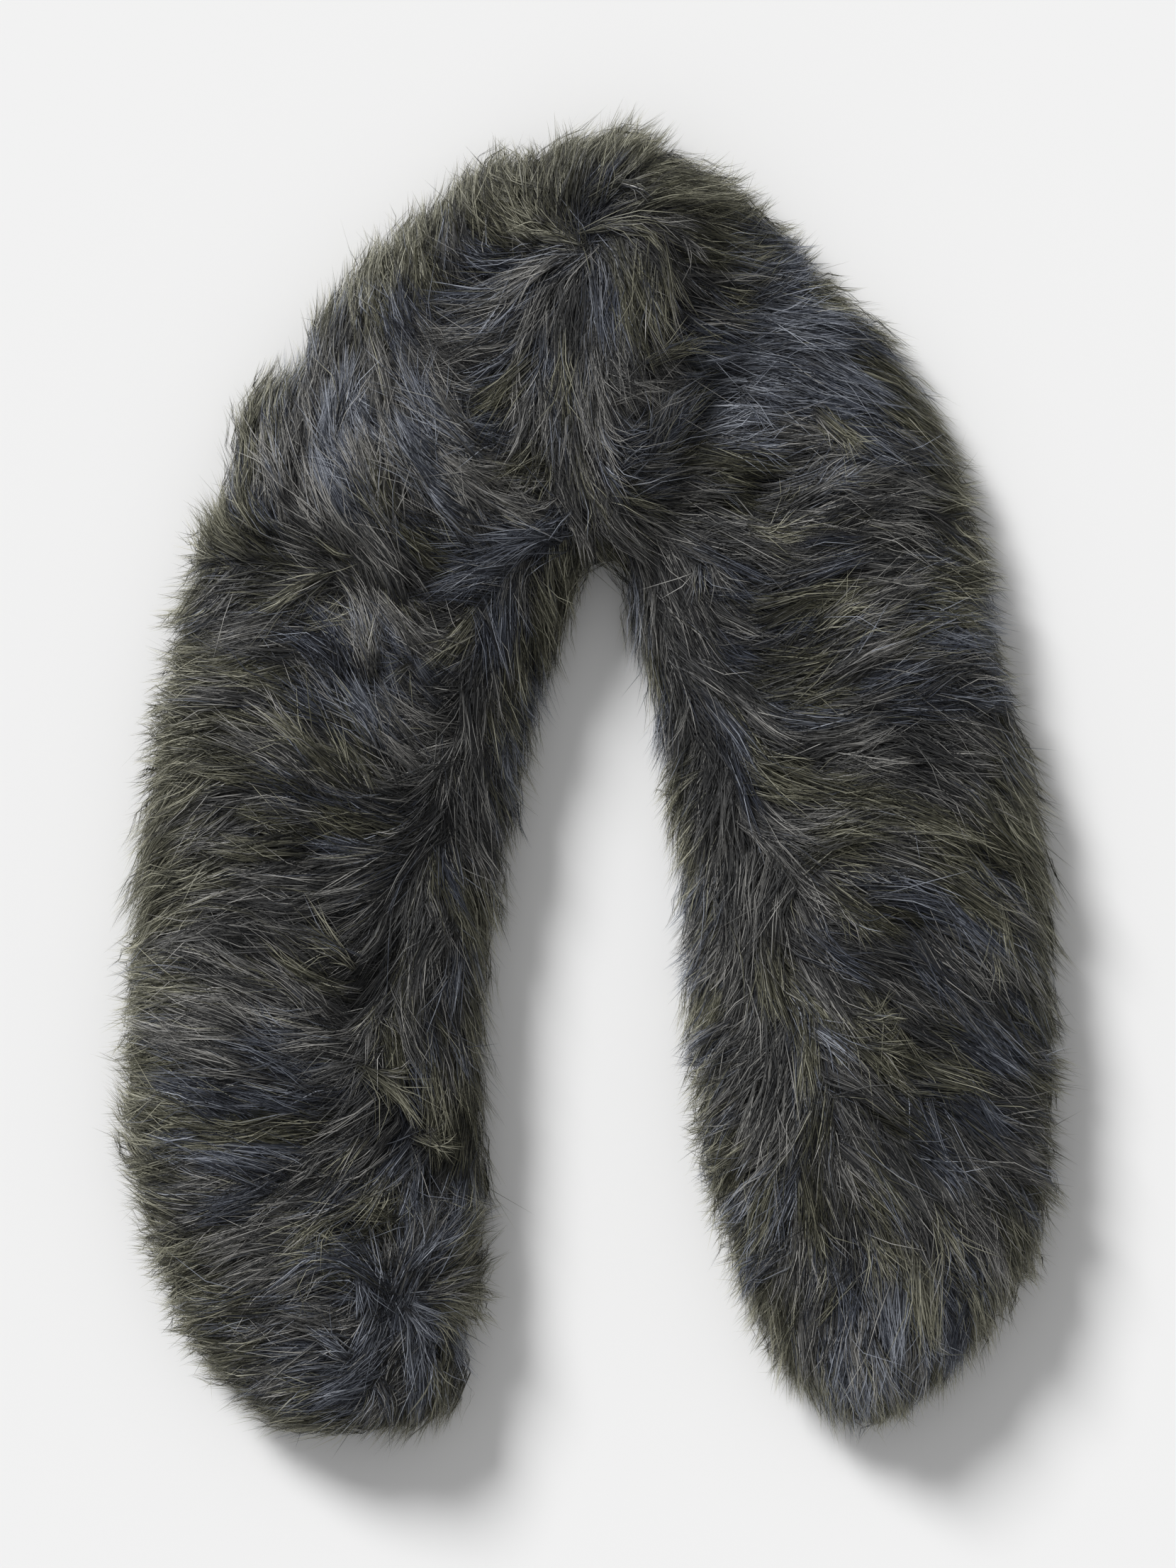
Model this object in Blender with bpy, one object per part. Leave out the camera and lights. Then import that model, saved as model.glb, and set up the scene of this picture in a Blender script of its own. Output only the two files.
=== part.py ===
"""Faux fur collar wrap, laid flat as an arch with its two ends towards -Y.

The wrap is a long tube of pile cloth pressed flat: a front panel and a back panel that
lie on each other.  The back panel rests on the floor and rolls up round the inner rim to
a parting seam, where the front panel's edge meets it.  Both panels are modelled in the
stretches that show.  The front has the left front, the shoulder, the buckled neck fold
and the right front, and the back has its two legs and its neck.  Each solid is the cloth
with its pile, so it reaches as far as the fur does.

Sizes are in millimetres and become metres when a mesh is made.  The wrap lies in the XY
plane with +Z up, and its bounding box is centred on the origin and stands on z = 0.
"""

import math
from typing import NamedTuple

import bmesh
import bpy
import numpy as np

MM = 0.001

# Pile cloth
BACK_DEPTH = 15.0          # back panel, its pile pressed under the weight of the wrap
FRONT_DEPTH = 20.0         # front panel, backing and standing pile
SEAM_GAP = 0.3             # clearance between neighbouring pieces
RIM_HEIGHT = 11.0          # height at which the rims reach furthest out
RIM_INSET = 7.0            # how far the rim tucks under towards the floor
DOME_POWER = 0.78          # below 1 fills the shoulders of the domed section
LIFT_POWER = 0.6           # how soon a stretch's lift fades towards its edges
SEAM_SLANT = 0.4           # share of the roll's width over which its seam face leans
SEAM_LEDGE = 8.0           # front panel's flat edge beside the parting seam
NARROW_SHARE = 0.36        # most of a narrow section that an inset or a roll may take

# Mesh density
RING_PITCH = 7.5           # spacing of the cross sections along the band
TIP_PITCH = 4.0            # spacing within TIP_LENGTH of an end
TIP_LENGTH = 26.0
FRONT_STEPS = 13           # facets across the front panel's pile
ROLL_STEPS = 6             # facets round the inner roll
RIM_STEPS = 2              # facets of each tucked rim
LOFT_STEPS = 5             # facets across the plain inside of the front panel

NOTCH_ROW = 14.0           # row of SECTIONS at the notch between the legs

# Fur locks raised on the pile
LOCK_WIDTH = 27.0          # along the band
LOCK_LENGTH = 58.0         # across the band, the way the pile lies
LOCK_RISE = 2.1
RIM_LOCK_PITCH = 24.0      # tufts along the rims
RIM_LOCK_REACH = 2.2


class Section(NamedTuple):
    """One cross section of the band, from its outer rim to its inner rim."""

    outer_x: float
    outer_y: float
    inner_x: float
    inner_y: float
    crown: float           # height of the pile above the floor
    parting: float         # from the inner rim to the parting seam


class Stretch(NamedTuple):
    """A stretch of a panel between two rows of SECTIONS."""

    name: str
    start: float
    end: float
    lift_start: float = 0.0      # pile raised (+) or sunk (-) at the start, middle and end
    lift_middle: float = 0.0
    lift_end: float = 0.0


class Crease(NamedTuple):
    """A soft trough (or, with a negative depth, a ridge) along a line in the pile."""

    start_x: float
    start_y: float
    end_x: float
    end_y: float
    half_width: float
    depth: float


class Tuft(NamedTuple):
    """A tuft that steps out of the outer rim, at a row of SECTIONS."""

    row: float
    length: float
    reach: float


SECTIONS = [
    #       outer rim       inner rim      crown  parting
    Section(-112, -299.0, -94.0, -299.0, 23.0, 6.0),
    Section(-133, -294.0, -79.0, -293.0, 33.0, 14.0),
    Section(-162, -278.0, -62.0, -279.0, 40.0, 18.0),
    Section(-186, -246.0, -51.0, -251.0, 45.0, 22.0),
    Section(-204, -198.0, -43.0, -214.0, 48.0, 24.0),
    Section(-214, -144.0, -45.0, -153.0, 49.0, 34.0),
    Section(-215, -92.0, -46.0, -92.0, 48.0, 46.0),
    Section(-207, -35.0, -36.0, -38.0, 47.0, 42.0),
    Section(-198, 32.0, -23.0, 29.0, 47.0, 45.0),
    Section(-184, 93.0, -10.0, 70.0, 48.0, 38.0),
    Section(-164, 140.0, -6.0, 79.0, 50.0, 28.0),
    Section(-139, 191.0, -2.0, 85.0, 50.0, 20.0),
    Section(-101, 239.0, 2.5, 89.0, 50.0, 16.0),
    Section(-51, 281.0, 6.0, 91.0, 50.0, 14.0),
    Section(14, 300.0, 10.0, 91.5, 52.0, 14.0),
    Section(62, 279.0, 13.5, 90.0, 50.0, 16.0),
    Section(101, 239.0, 16.0, 86.0, 48.0, 22.0),
    Section(142, 193.0, 17.5, 80.0, 49.0, 30.0),
    Section(169, 142.0, 19.0, 71.0, 49.0, 35.0),
    Section(184, 84.0, 23.0, 57.0, 48.0, 30.0),
    Section(198, 23.0, 30.0, 24.0, 48.0, 30.0),
    Section(211, -44.0, 38.0, -36.0, 48.0, 41.0),
    Section(216, -108.0, 42.0, -102.0, 49.0, 52.0),
    Section(213, -169.0, 49.0, -163.0, 49.0, 46.0),
    Section(201, -220.0, 62.0, -217.0, 47.0, 34.0),
    Section(176, -258.0, 79.0, -255.0, 42.0, 24.0),
    Section(154, -282.0, 99.0, -281.0, 34.0, 14.0),
    Section(133, -295.0, 115.0, -295.0, 23.0, 6.0),
]

FRONT_STRETCHES = [
    #        name                  rows          lift at start, middle, end
    Stretch("front_panel_left", 0.0, 9.55, 0.0, 0.0, -4.0),
    Stretch("front_panel_shoulder", 9.55, 13.15, 3.0, 1.0, -7.0),
    Stretch("neck_fold", 13.15, 15.55, -3.0, 13.0, 3.0),
    Stretch("front_panel_right", 15.55, 27.0, -8.0, 0.0, 0.0),
]

BACK_STRETCHES = [
    Stretch("back_panel_left", 0.0, 9.55),
    Stretch("back_panel_neck", 9.55, 15.55),
    Stretch("back_panel_right", 15.55, 27.0),
]

CREASES = [
    #       from          to           half width, depth
    Crease(-44, 222, -27, 146, 15.0, 6.0),        # valley left of the neck fold
    Crease(43, 206, 49, 172, 13.0, 9.0),          # hollow right of the neck fold
    Crease(66, 130, 94, 143, 9.0, 8.0),           # tuck below the right shoulder
    Crease(130, 74, 160, 36, 12.0, 4.0),          # right front, outer side
    Crease(144, -96, 158, -126, 9.0, 7.0),        # step low on the right front
    Crease(50, 78, 72, -14, 9.0, 4.0),            # right parting trough
    Crease(74, -40, 96, -128, 9.0, 4.0),          # right parting trough, lower part
    Crease(-163, 111, -66, 101, 12.0, 5.0),       # left front, under the shoulder
    Crease(-126, 84, -108, 74, 10.0, 5.0),        # pocket on the left front
    Crease(-70, 36, -82, -42, 10.0, 4.0),         # left parting trough
    Crease(-82, -42, -94, -98, 10.0, 6.0),        # left parting trough, lower part
    Crease(-118, -88, -100, -96, 8.0, 6.0),       # short tuck on the left front
    Crease(-92, -162, -62, -170, 9.0, 6.0),       # tuck by the left end's tuft
    Crease(-150, -214, -116, -232, 9.0, 5.0),     # tuck on the left end
    Crease(-150, 205, -96, 150, 14.0, -4.0),      # swell of the shoulder
    Crease(72, 178, 150, 150, 16.0, -4.0),        # swell of the right shoulder
]

TUFTS = [
    #    row   length reach
    Tuft(8.95, 34.0, 5.0),
    Tuft(9.75, 30.0, 6.0),
    Tuft(10.65, 36.0, 11.0),
    Tuft(12.05, 30.0, 5.0),
    Tuft(13.10, 26.0, 5.0),
    Tuft(14.05, 26.0, 6.0),
]

# name: (colour, roughness) of the pile, as linear RGB
PILE_COLOURS = {
    "front_panel_left": ((0.046, 0.045, 0.040), 0.85),
    "front_panel_shoulder": ((0.062, 0.064, 0.066), 0.85),
    "neck_fold": ((0.036, 0.037, 0.038), 0.85),
    "front_panel_right": ((0.046, 0.047, 0.046), 0.85),
    "back_panel_left": ((0.034, 0.034, 0.031), 0.85),
    "back_panel_neck": ((0.034, 0.034, 0.031), 0.85),
    "back_panel_right": ((0.034, 0.034, 0.031), 0.85),
}


def clear_scene():
    """Empty the file of everything it opened with."""
    for stray in list(bpy.data.objects):
        bpy.data.objects.remove(stray, do_unlink=True)


def smooth(fraction):
    """Ease a fraction from 0 to 1 with level ends."""
    fraction = min(max(fraction, 0.0), 1.0)
    return fraction * fraction * (3.0 - 2.0 * fraction)


def section_at(row):
    """Return the cross section at a row number that need not be whole."""
    index = min(int(row), len(SECTIONS) - 2)
    t = row - index
    before = np.array(SECTIONS[max(index - 1, 0)])
    first = np.array(SECTIONS[index])
    second = np.array(SECTIONS[index + 1])
    after = np.array(SECTIONS[min(index + 2, len(SECTIONS) - 1)])
    leave = 0.5 * (second - before)
    arrive = 0.5 * (after - first)
    values = (
        (2 * t**3 - 3 * t**2 + 1) * first
        + (t**3 - 2 * t**2 + t) * leave
        + (3 * t**2 - 2 * t**3) * second
        + (t**3 - t**2) * arrive
    )
    return Section(*values)


def middle_of(section):
    """Return the middle of a section in plan."""
    return np.array(
        [
            (section.outer_x + section.inner_x) / 2.0,
            (section.outer_y + section.inner_y) / 2.0,
        ]
    )


def run_along_band(samples_per_row=24):
    """Return matching lists of row numbers and distances along the band's middle."""
    rows = np.linspace(0.0, len(SECTIONS) - 1.0, (len(SECTIONS) - 1) * samples_per_row + 1)
    middles = np.array([middle_of(section_at(row)) for row in rows])
    steps = np.linalg.norm(np.diff(middles, axis=0), axis=1)
    return rows, np.concatenate([[0.0], np.cumsum(steps)])


ROWS, RUN = run_along_band()
BAND_LENGTH = float(RUN[-1])


def distance_at(row):
    """Return how far along the band's middle a row lies."""
    return float(np.interp(row, ROWS, RUN))


def rows_between(start, end):
    """Return rows from start to end, evenly spaced but closer at the wrap's ends."""
    here = distance_at(start)
    last = distance_at(end)
    distances = [here]
    while here < last:
        to_tip = min(here, BAND_LENGTH - here)
        here += TIP_PITCH if to_tip < TIP_LENGTH else RING_PITCH
        distances.append(here)
    scale = (last - distances[0]) / (distances[-1] - distances[0])
    even = [distances[0] + (d - distances[0]) * scale for d in distances]
    return [float(np.interp(d, RUN, ROWS)) for d in even]


def lift_of(stretch, row):
    """Return how much a stretch raises its crown at a row."""
    t = (row - stretch.start) / (stretch.end - stretch.start)
    if t < 0.5:
        return stretch.lift_start + (stretch.lift_middle - stretch.lift_start) * smooth(2 * t)
    return stretch.lift_middle + (stretch.lift_end - stretch.lift_middle) * smooth(2 * t - 1)


def crease_depth(x, y):
    """Return how deep the creases sink the pile at a place in plan."""
    depth = 0.0
    for crease in CREASES:
        along_x = crease.end_x - crease.start_x
        along_y = crease.end_y - crease.start_y
        length = math.hypot(along_x, along_y)
        t = ((x - crease.start_x) * along_x + (y - crease.start_y) * along_y) / length**2
        t = min(max(t, 0.0), 1.0)
        away = math.hypot(x - crease.start_x - t * along_x, y - crease.start_y - t * along_y)
        depth += crease.depth * math.exp(-((away / crease.half_width) ** 2))
    return depth


def lock_rise(run, across):
    """Return the raised fur locks' height at a distance along and across the band."""
    column = run / LOCK_WIDTH
    stagger = 0.5 * (math.floor(column) % 2) + 0.17 * math.sin(2.4 * math.floor(column))
    ridge = math.sin(math.pi * (column - math.floor(column)))
    wave = math.cos(2.0 * math.pi * (across / LOCK_LENGTH + stagger))
    return LOCK_RISE * ridge * wave


def rim_reach(row, run, side):
    """Return how far the rim's tufts reach out; side is -1 outer, +1 inner."""
    phase = run / RIM_LOCK_PITCH + (0.0 if side < 0 else 0.4)
    reach = RIM_LOCK_REACH * (abs(math.sin(math.pi * phase)) - 0.5)
    if side > 0:
        return reach * smooth((abs(row - NOTCH_ROW) - 3.0) / 3.0)
    for tuft in TUFTS:
        behind = (distance_at(tuft.row) - run) / tuft.length
        if 0.0 <= behind < 1.0:
            reach += tuft.reach * (1.0 - behind) ** 0.8
        elif -0.25 < behind < 0.0:
            reach += tuft.reach * (1.0 + behind * 4.0)
    return reach


class Ring:
    """One cross section with its surface worked out, as points (across, z)."""

    def __init__(self, row, lift=0.0, shift=0.0):
        """Set out the section at a row, moved sideways by shift along the band."""
        section = section_at(row)
        outer = np.array([section.outer_x, section.outer_y])
        inner = np.array([section.inner_x, section.inner_y])
        self.width = float(np.linalg.norm(inner - outer))
        self.across = (inner - outer) / self.width
        along = np.array([-self.across[1], self.across[0]])
        self.origin = outer + along * shift
        self.row = row
        self.run = distance_at(row)
        self.crown = section.crown
        self.lift = lift
        self.inset = min(RIM_INSET, NARROW_SHARE * self.width)
        self.parting = min(section.parting, NARROW_SHARE * self.width)
        self.outer_reach = rim_reach(row, self.run, -1)
        self.inner_reach = rim_reach(row, self.run, 1)

    def angle_at(self, across):
        """Return the dome's angle at a distance from the outer rim."""
        return math.acos(1.0 - 2.0 * across / self.width)

    def rim_angle(self):
        """Return the angle at which the pile passes the outer seam's height."""
        share = (BACK_DEPTH + SEAM_GAP - RIM_HEIGHT) / (self.crown - RIM_HEIGHT)
        return math.asin(share ** (1.0 / DOME_POWER))

    def pile_point(self, angle):
        """Return (across, z) on the domed pile at an angle from the outer rim."""
        across = self.width * (1.0 - math.cos(angle)) / 2.0
        body = math.sin(angle)
        z = RIM_HEIGHT + (self.crown - RIM_HEIGHT) * body**DOME_POWER
        place = self.origin + self.across * across
        z += body**1.5 * lock_rise(self.run, across)
        z -= body * crease_depth(place[0], place[1])
        reach = self.outer_reach if angle < math.pi / 2.0 else -self.inner_reach
        return across - reach * math.cos(angle) ** 2, z

    def to_world(self, across, z):
        """Return the world point in metres of a point of this section."""
        place = self.origin + self.across * across
        return (place[0] * MM, place[1] * MM, z * MM)

    def seam_angle(self):
        """Return the dome's angle at the parting seam."""
        return self.angle_at(self.width - self.parting)

    def seam_foot(self):
        """Return how far across the parting seam stands on the back panel."""
        top = self.width - self.parting
        return top + SEAM_SLANT * max(self.width - FRONT_DEPTH - top, 0.0)

    def seam_point(self, z):
        """Return (across, z) on the slanted seam face at a height."""
        top_across, top_z = self.pile_point(self.seam_angle())
        share = (z - BACK_DEPTH) / (top_z - BACK_DEPTH)
        return self.seam_foot() + (top_across - self.seam_foot()) * share, z

    def front_loop(self):
        """Return the closed outline of the front panel in this section."""
        start = self.rim_angle()
        end = self.seam_angle()
        floor = BACK_DEPTH + SEAM_GAP
        pile = []
        for step in range(FRONT_STEPS + 1):
            t = step / FRONT_STEPS
            across, z = self.pile_point(start + (end - start) * t)
            pile.append((across, z + self.lift * math.sin(math.pi * t) ** LIFT_POWER))
        pile[0] = (pile[0][0], floor)
        pile[-1] = self.seam_point(pile[-1][1])
        foot = self.seam_foot()
        rise = max(self.crown + self.lift - FRONT_DEPTH - floor, 0.0)
        first = foot - min(SEAM_LEDGE, 0.1 * self.width)
        last = min(FRONT_DEPTH, NARROW_SHARE * self.width)
        inside = []
        for step in range(LOFT_STEPS + 1):
            t = step / LOFT_STEPS
            inside.append((first + (last - first) * t, floor + rise * math.sin(math.pi * t) ** 2))
        return pile + [(foot, floor)] + inside

    def back_loop(self):
        """Return the closed outline of the back panel in this section."""
        seam = self.seam_angle()
        foot = self.seam_foot() + SEAM_GAP
        rim_start = self.rim_angle()
        floor_outer = self.inset - self.outer_reach
        floor_inner = self.width - self.inset + self.inner_reach
        loop = [(floor_outer, 0.0), (floor_inner, 0.0)]
        for step in range(1, RIM_STEPS + 1):
            turn = 0.5 * math.pi * step / RIM_STEPS
            loop.append(
                (floor_inner + self.inset * math.sin(turn), RIM_HEIGHT * (1.0 - math.cos(turn)))
            )
        roll = [
            self.pile_point(math.pi + (seam - math.pi) * step / ROLL_STEPS)
            for step in range(1, ROLL_STEPS + 1)
        ]
        roll[-1] = (roll[-1][0] + SEAM_GAP, roll[-1][1])
        loop += roll
        loop.append((foot, BACK_DEPTH))
        rim_across, _ = self.pile_point(rim_start)
        loop.append((rim_across, BACK_DEPTH))
        for step in range(RIM_STEPS, 0, -1):
            turn = 0.5 * math.pi * step / RIM_STEPS
            loop.append(
                (floor_outer - self.inset * math.sin(turn), RIM_HEIGHT * (1.0 - math.cos(turn)))
            )
        return loop


def loft(name, rings, loops):
    """Make one closed solid through the outlines of a row of rings."""
    mesh = bmesh.new()
    hoops = [
        [mesh.verts.new(ring.to_world(across, z)) for across, z in loop]
        for ring, loop in zip(rings, loops)
    ]
    count = len(hoops[0])
    for first, second in zip(hoops, hoops[1:]):
        for i in range(count):
            j = (i + 1) % count
            mesh.faces.new((first[i], first[j], second[j], second[i]))
    mesh.faces.new(hoops[0][::-1])
    mesh.faces.new(hoops[-1])
    bmesh.ops.recalc_face_normals(mesh, faces=mesh.faces)
    bmesh.ops.triangulate(mesh, faces=mesh.faces, quad_method="FIXED", ngon_method="EAR_CLIP")
    data = bpy.data.meshes.new(name)
    mesh.to_mesh(data)
    mesh.free()
    data.shade_smooth()
    data.set_sharp_from_angle(angle=math.radians(50.0))
    solid = bpy.data.objects.new(name, data)
    bpy.context.collection.objects.link(solid)
    return solid


def pile_material(name):
    """Return the pile's Principled material for a node."""
    colour, roughness = PILE_COLOURS[name]
    material = bpy.data.materials.new(f"{name}_pile")
    material.use_nodes = True
    shader = material.node_tree.nodes["Principled BSDF"]
    shader.inputs["Base Color"].default_value = (*colour, 1.0)
    shader.inputs["Roughness"].default_value = roughness
    shader.inputs["Metallic"].default_value = 0.0
    return material


def rings_of(stretch):
    """Set out a stretch's rings, on the rows that both panels share.

    A ring at a seam with the next stretch moves back by half the seam's clearance.
    """
    rows = []
    for front in FRONT_STRETCHES:
        if stretch.start <= front.start and front.end <= stretch.end:
            rows += rows_between(front.start, front.end)[1 if rows else 0:]
    rings = []
    for index, row in enumerate(rows):
        shift = 0.0
        if index == 0 and stretch.start > 0.0:
            shift = SEAM_GAP / 2.0
        if index == len(rows) - 1 and stretch.end < len(SECTIONS) - 1.0:
            shift = -SEAM_GAP / 2.0
        rings.append(Ring(row, lift_of(stretch, row), shift))
    return rings


def front_stretch(stretch):
    """Make the front panel's solid for one stretch."""
    rings = rings_of(stretch)
    return loft(stretch.name, rings, [ring.front_loop() for ring in rings])


def back_stretch(stretch):
    """Make the back panel's solid for one stretch, with its roll round the inner rim."""
    rings = rings_of(stretch)
    return loft(stretch.name, rings, [ring.back_loop() for ring in rings])


def centre_on_origin(solids):
    """Move the meshes so that their common box is centred and stands on z = 0."""
    corners = np.array([v.co[:] for solid in solids for v in solid.data.vertices])
    low = corners.min(axis=0)
    high = corners.max(axis=0)
    shift = -(low + high) / 2.0
    shift[2] = -low[2]
    for solid in solids:
        for vertex in solid.data.vertices:
            vertex.co = [vertex.co[axis] + shift[axis] for axis in range(3)]


def main():
    """Build every piece of the wrap."""
    clear_scene()
    solids = [front_stretch(stretch) for stretch in FRONT_STRETCHES]
    solids += [back_stretch(stretch) for stretch in BACK_STRETCHES]
    for solid in solids:
        solid.data.materials.append(pile_material(solid.name))
    centre_on_origin(solids)


main()
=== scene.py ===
"""Looks of a charcoal faux fur collar wrap that lies flat as an arch.

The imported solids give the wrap's outer surface.  Each solid is replaced by a thin
backing cloth a little way inside that surface, and the pile grows out to it: a dense
short underfur and long guard hairs.  The hairs gather in wisps, the wisps gather in
locks, and a map of combing marks says which way the nap lies at each place.

The drawing's sizes are in millimetres, and the meshes are in metres.
"""

import logging
import math
from dataclasses import dataclass, fields, replace
from enum import Enum

import bmesh
import bpy
import numpy as np
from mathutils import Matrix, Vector
from mathutils.bvhtree import BVHTree


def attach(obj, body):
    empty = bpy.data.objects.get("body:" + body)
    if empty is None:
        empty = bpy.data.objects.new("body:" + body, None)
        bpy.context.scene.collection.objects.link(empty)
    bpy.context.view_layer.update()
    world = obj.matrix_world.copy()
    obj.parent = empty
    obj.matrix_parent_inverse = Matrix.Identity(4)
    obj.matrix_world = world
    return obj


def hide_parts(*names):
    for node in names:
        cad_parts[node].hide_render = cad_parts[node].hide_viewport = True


LOG = logging.getLogger("fur_wrap")
MM = 0.001
SEED = 7
MAP_NAME = "OFBake"           # the hairs' own UV map: tone across, root to tip upwards
DRAWING_SHIFT = (-0.2, -2.5)  # from the drawing's origin to the frame's, in millimetres

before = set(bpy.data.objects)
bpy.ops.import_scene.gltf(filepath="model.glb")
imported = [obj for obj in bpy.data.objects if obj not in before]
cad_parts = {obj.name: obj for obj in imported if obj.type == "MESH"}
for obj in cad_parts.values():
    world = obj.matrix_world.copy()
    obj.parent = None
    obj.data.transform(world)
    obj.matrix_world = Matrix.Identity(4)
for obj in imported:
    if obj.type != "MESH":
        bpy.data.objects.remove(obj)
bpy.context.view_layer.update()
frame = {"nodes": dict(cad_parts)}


# --------------------------------------------------------------------------- the nap

# Each row crosses the wrap at one height of the drawing, and its marks run from left to
# right: how far right the mark lies, and the angle in degrees that the hair points to.
NAP_ROWS: dict[int, tuple[tuple[int, int], ...]] = {
    284: ((-40, 98), (-15, 88), (8, 62), (22, 50), (42, 32)),
    270: ((-52, 98), (-30, 95), (-12, 78), (5, 48), (20, 30), (38, 22), (58, 20)),
    258: ((-62, 100), (-42, 112), (-24, 128), (-8, 70), (8, 18), (26, -4), (44, 10), (64, 25)),
    247: ((-44, 150), (-30, 165), (-14, 150), (2, 60), (18, -20), (33, -45), (50, -6)),
    236: ((-82, 97), (-60, 115), (-42, 208), (-24, 214), (-6, 238), (10, -82), (24, -70),
          (36, -72), (50, -14), (64, 20), (84, 22)),
    212: ((-102, 97), (-80, 105), (-60, 186), (-44, 218), (-24, 244), (-4, 265), (14, -78),
          (34, -74), (50, -20), (64, 6), (84, 9), (106, 5)),
    192: ((-58, 196), (-44, 226), (-26, 250), (-6, 272), (14, -70), (32, -64), (50, 22)),
    200: ((-122, 94), (-100, 97), (-82, 104)),
    182: ((-128, 93), (-104, 97), (-84, 106), (-68, 123), (62, 0), (88, -10), (115, -22), (142, -28)),
    172: ((-54, 212), (-40, 238), (-24, 258), (-8, 274), (6, -66), (24, 66), (42, 40)),
    160: ((-146, 96), (-124, 106), (-100, 104), (-80, 116), (-62, 128), (62, -5), (90, -5), (120, -30),
          (158, -28)),
    152: ((-54, 140), (-38, 250), (-24, 264), (-8, 282), (8, -58), (26, 66), (42, 30)),
    138: ((-158, 92), (-134, 110), (-110, 118), (-88, 116), (-66, 126), (-44, 140), (-26, 150),
          (-10, -72), (6, -52), (28, 30), (44, 3), (66, -12), (80, -10), (94, 60), (112, 8),
          (150, -4)),
    117: ((-164, 125), (-136, 126), (-104, 114), (-72, 130), (-42, 145), (-20, 150),
          (-6, -72), (8, -60), (24, -40), (44, 10), (64, -12), (84, -25), (108, 12), (140, -8),
          (168, -12)),
    98: ((-164, 195), (-138, 178), (-118, 140), (-96, 116), (-76, 145), (-56, 195),
         (-40, 235), (-18, -74), (22, -86), (42, -80), (62, -38), (84, 10), (120, 6),
         (160, -14)),
    78: ((-182, 197), (-158, 195), (-136, 205), (-114, 150), (-96, 114), (-78, 128),
         (-60, 236), (-40, 270), (-18, 300), (22, -95), (42, -66), (60, -28), (84, 8),
         (108, 30), (128, 32), (152, 10), (182, -18)),
    55: ((-186, 177), (-158, 170), (-128, 145), (-104, 118), (-82, 122), (-60, 243),
         (-38, 290), (24, -95), (42, -45), (62, -36), (84, 4), (112, 20), (142, 18),
         (184, -12)),
    17: ((-192, 193), (-162, 168), (-134, 148), (-108, 126), (-83, 145), (-62, 268),
         (-40, 297), (34, -120), (46, -90), (62, -75), (80, -22), (104, 12), (134, 2), (162, -18),
         (190, -36)),
    -18: ((-202, 225), (-180, 208), (-156, 182), (-132, 175), (-106, 150), (-84, 200),
          (-62, 286), (-42, 304), (38, -138), (50, -112), (62, -98), (80, -28), (104, 8), (134, -12),
          (166, -28), (202, -34)),
    -50: ((-202, 220), (-178, 185), (-150, 168), (-124, 178), (-102, 212), (-80, 264),
          (-58, 300), (42, -142), (54, -115), (66, -108), (80, -91), (102, -38), (132, -24),
          (166, -36), (202, -44)),
    -87: ((-206, 184), (-180, 172), (-152, 148), (-128, 134), (-110, 175), (-96, 252),
          (-76, 262), (-56, 282), (46, -148), (62, -122), (80, -66), (104, -34), (134, -32),
          (168, -46), (204, -46)),
    -126: ((-206, 168), (-178, 172), (-150, 158), (-124, 180), (-108, 200), (-96, -45),
           (-78, -75), (-58, -75), (48, -158), (62, -140), (80, -112), (102, -84), (124, -46),
           (150, -24), (180, -34), (206, -20)),
    -168: ((-206, 171), (-178, 183), (-148, 190), (-120, 198), (-98, 235), (-80, 262),
           (-60, 250), (54, -160), (68, -138), (84, -112), (108, -70), (134, -54), (164, -46),
           (204, -24)),
    -208: ((-194, 184), (-164, 193), (-138, 222), (-118, 195), (-100, 106), (-80, 70),
           (-60, 36), (62, -150), (74, -124), (90, -94), (112, -78), (138, -62), (166, -64),
           (192, -52)),
    -226: ((-60, 0),),
    -244: ((-180, 198), (-150, 195), (-122, 158), (-98, 262), (-78, -66), (-60, -60),
           (74, -138), (88, -104), (108, -95), (134, -84), (166, -72)),
    -272: ((-150, 205), (-122, 195), (-100, 230), (-78, -85), (110, -90), (135, -82),
           (158, -76)),
}


def unit(vectors: np.ndarray) -> np.ndarray:
    """Scale vectors to length one.

    Args:
        vectors: An array whose last axis holds the components.

    Returns:
        The same directions at unit length.
    """
    return vectors / np.maximum(np.linalg.norm(vectors, axis=-1, keepdims=True), 1e-9)


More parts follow.
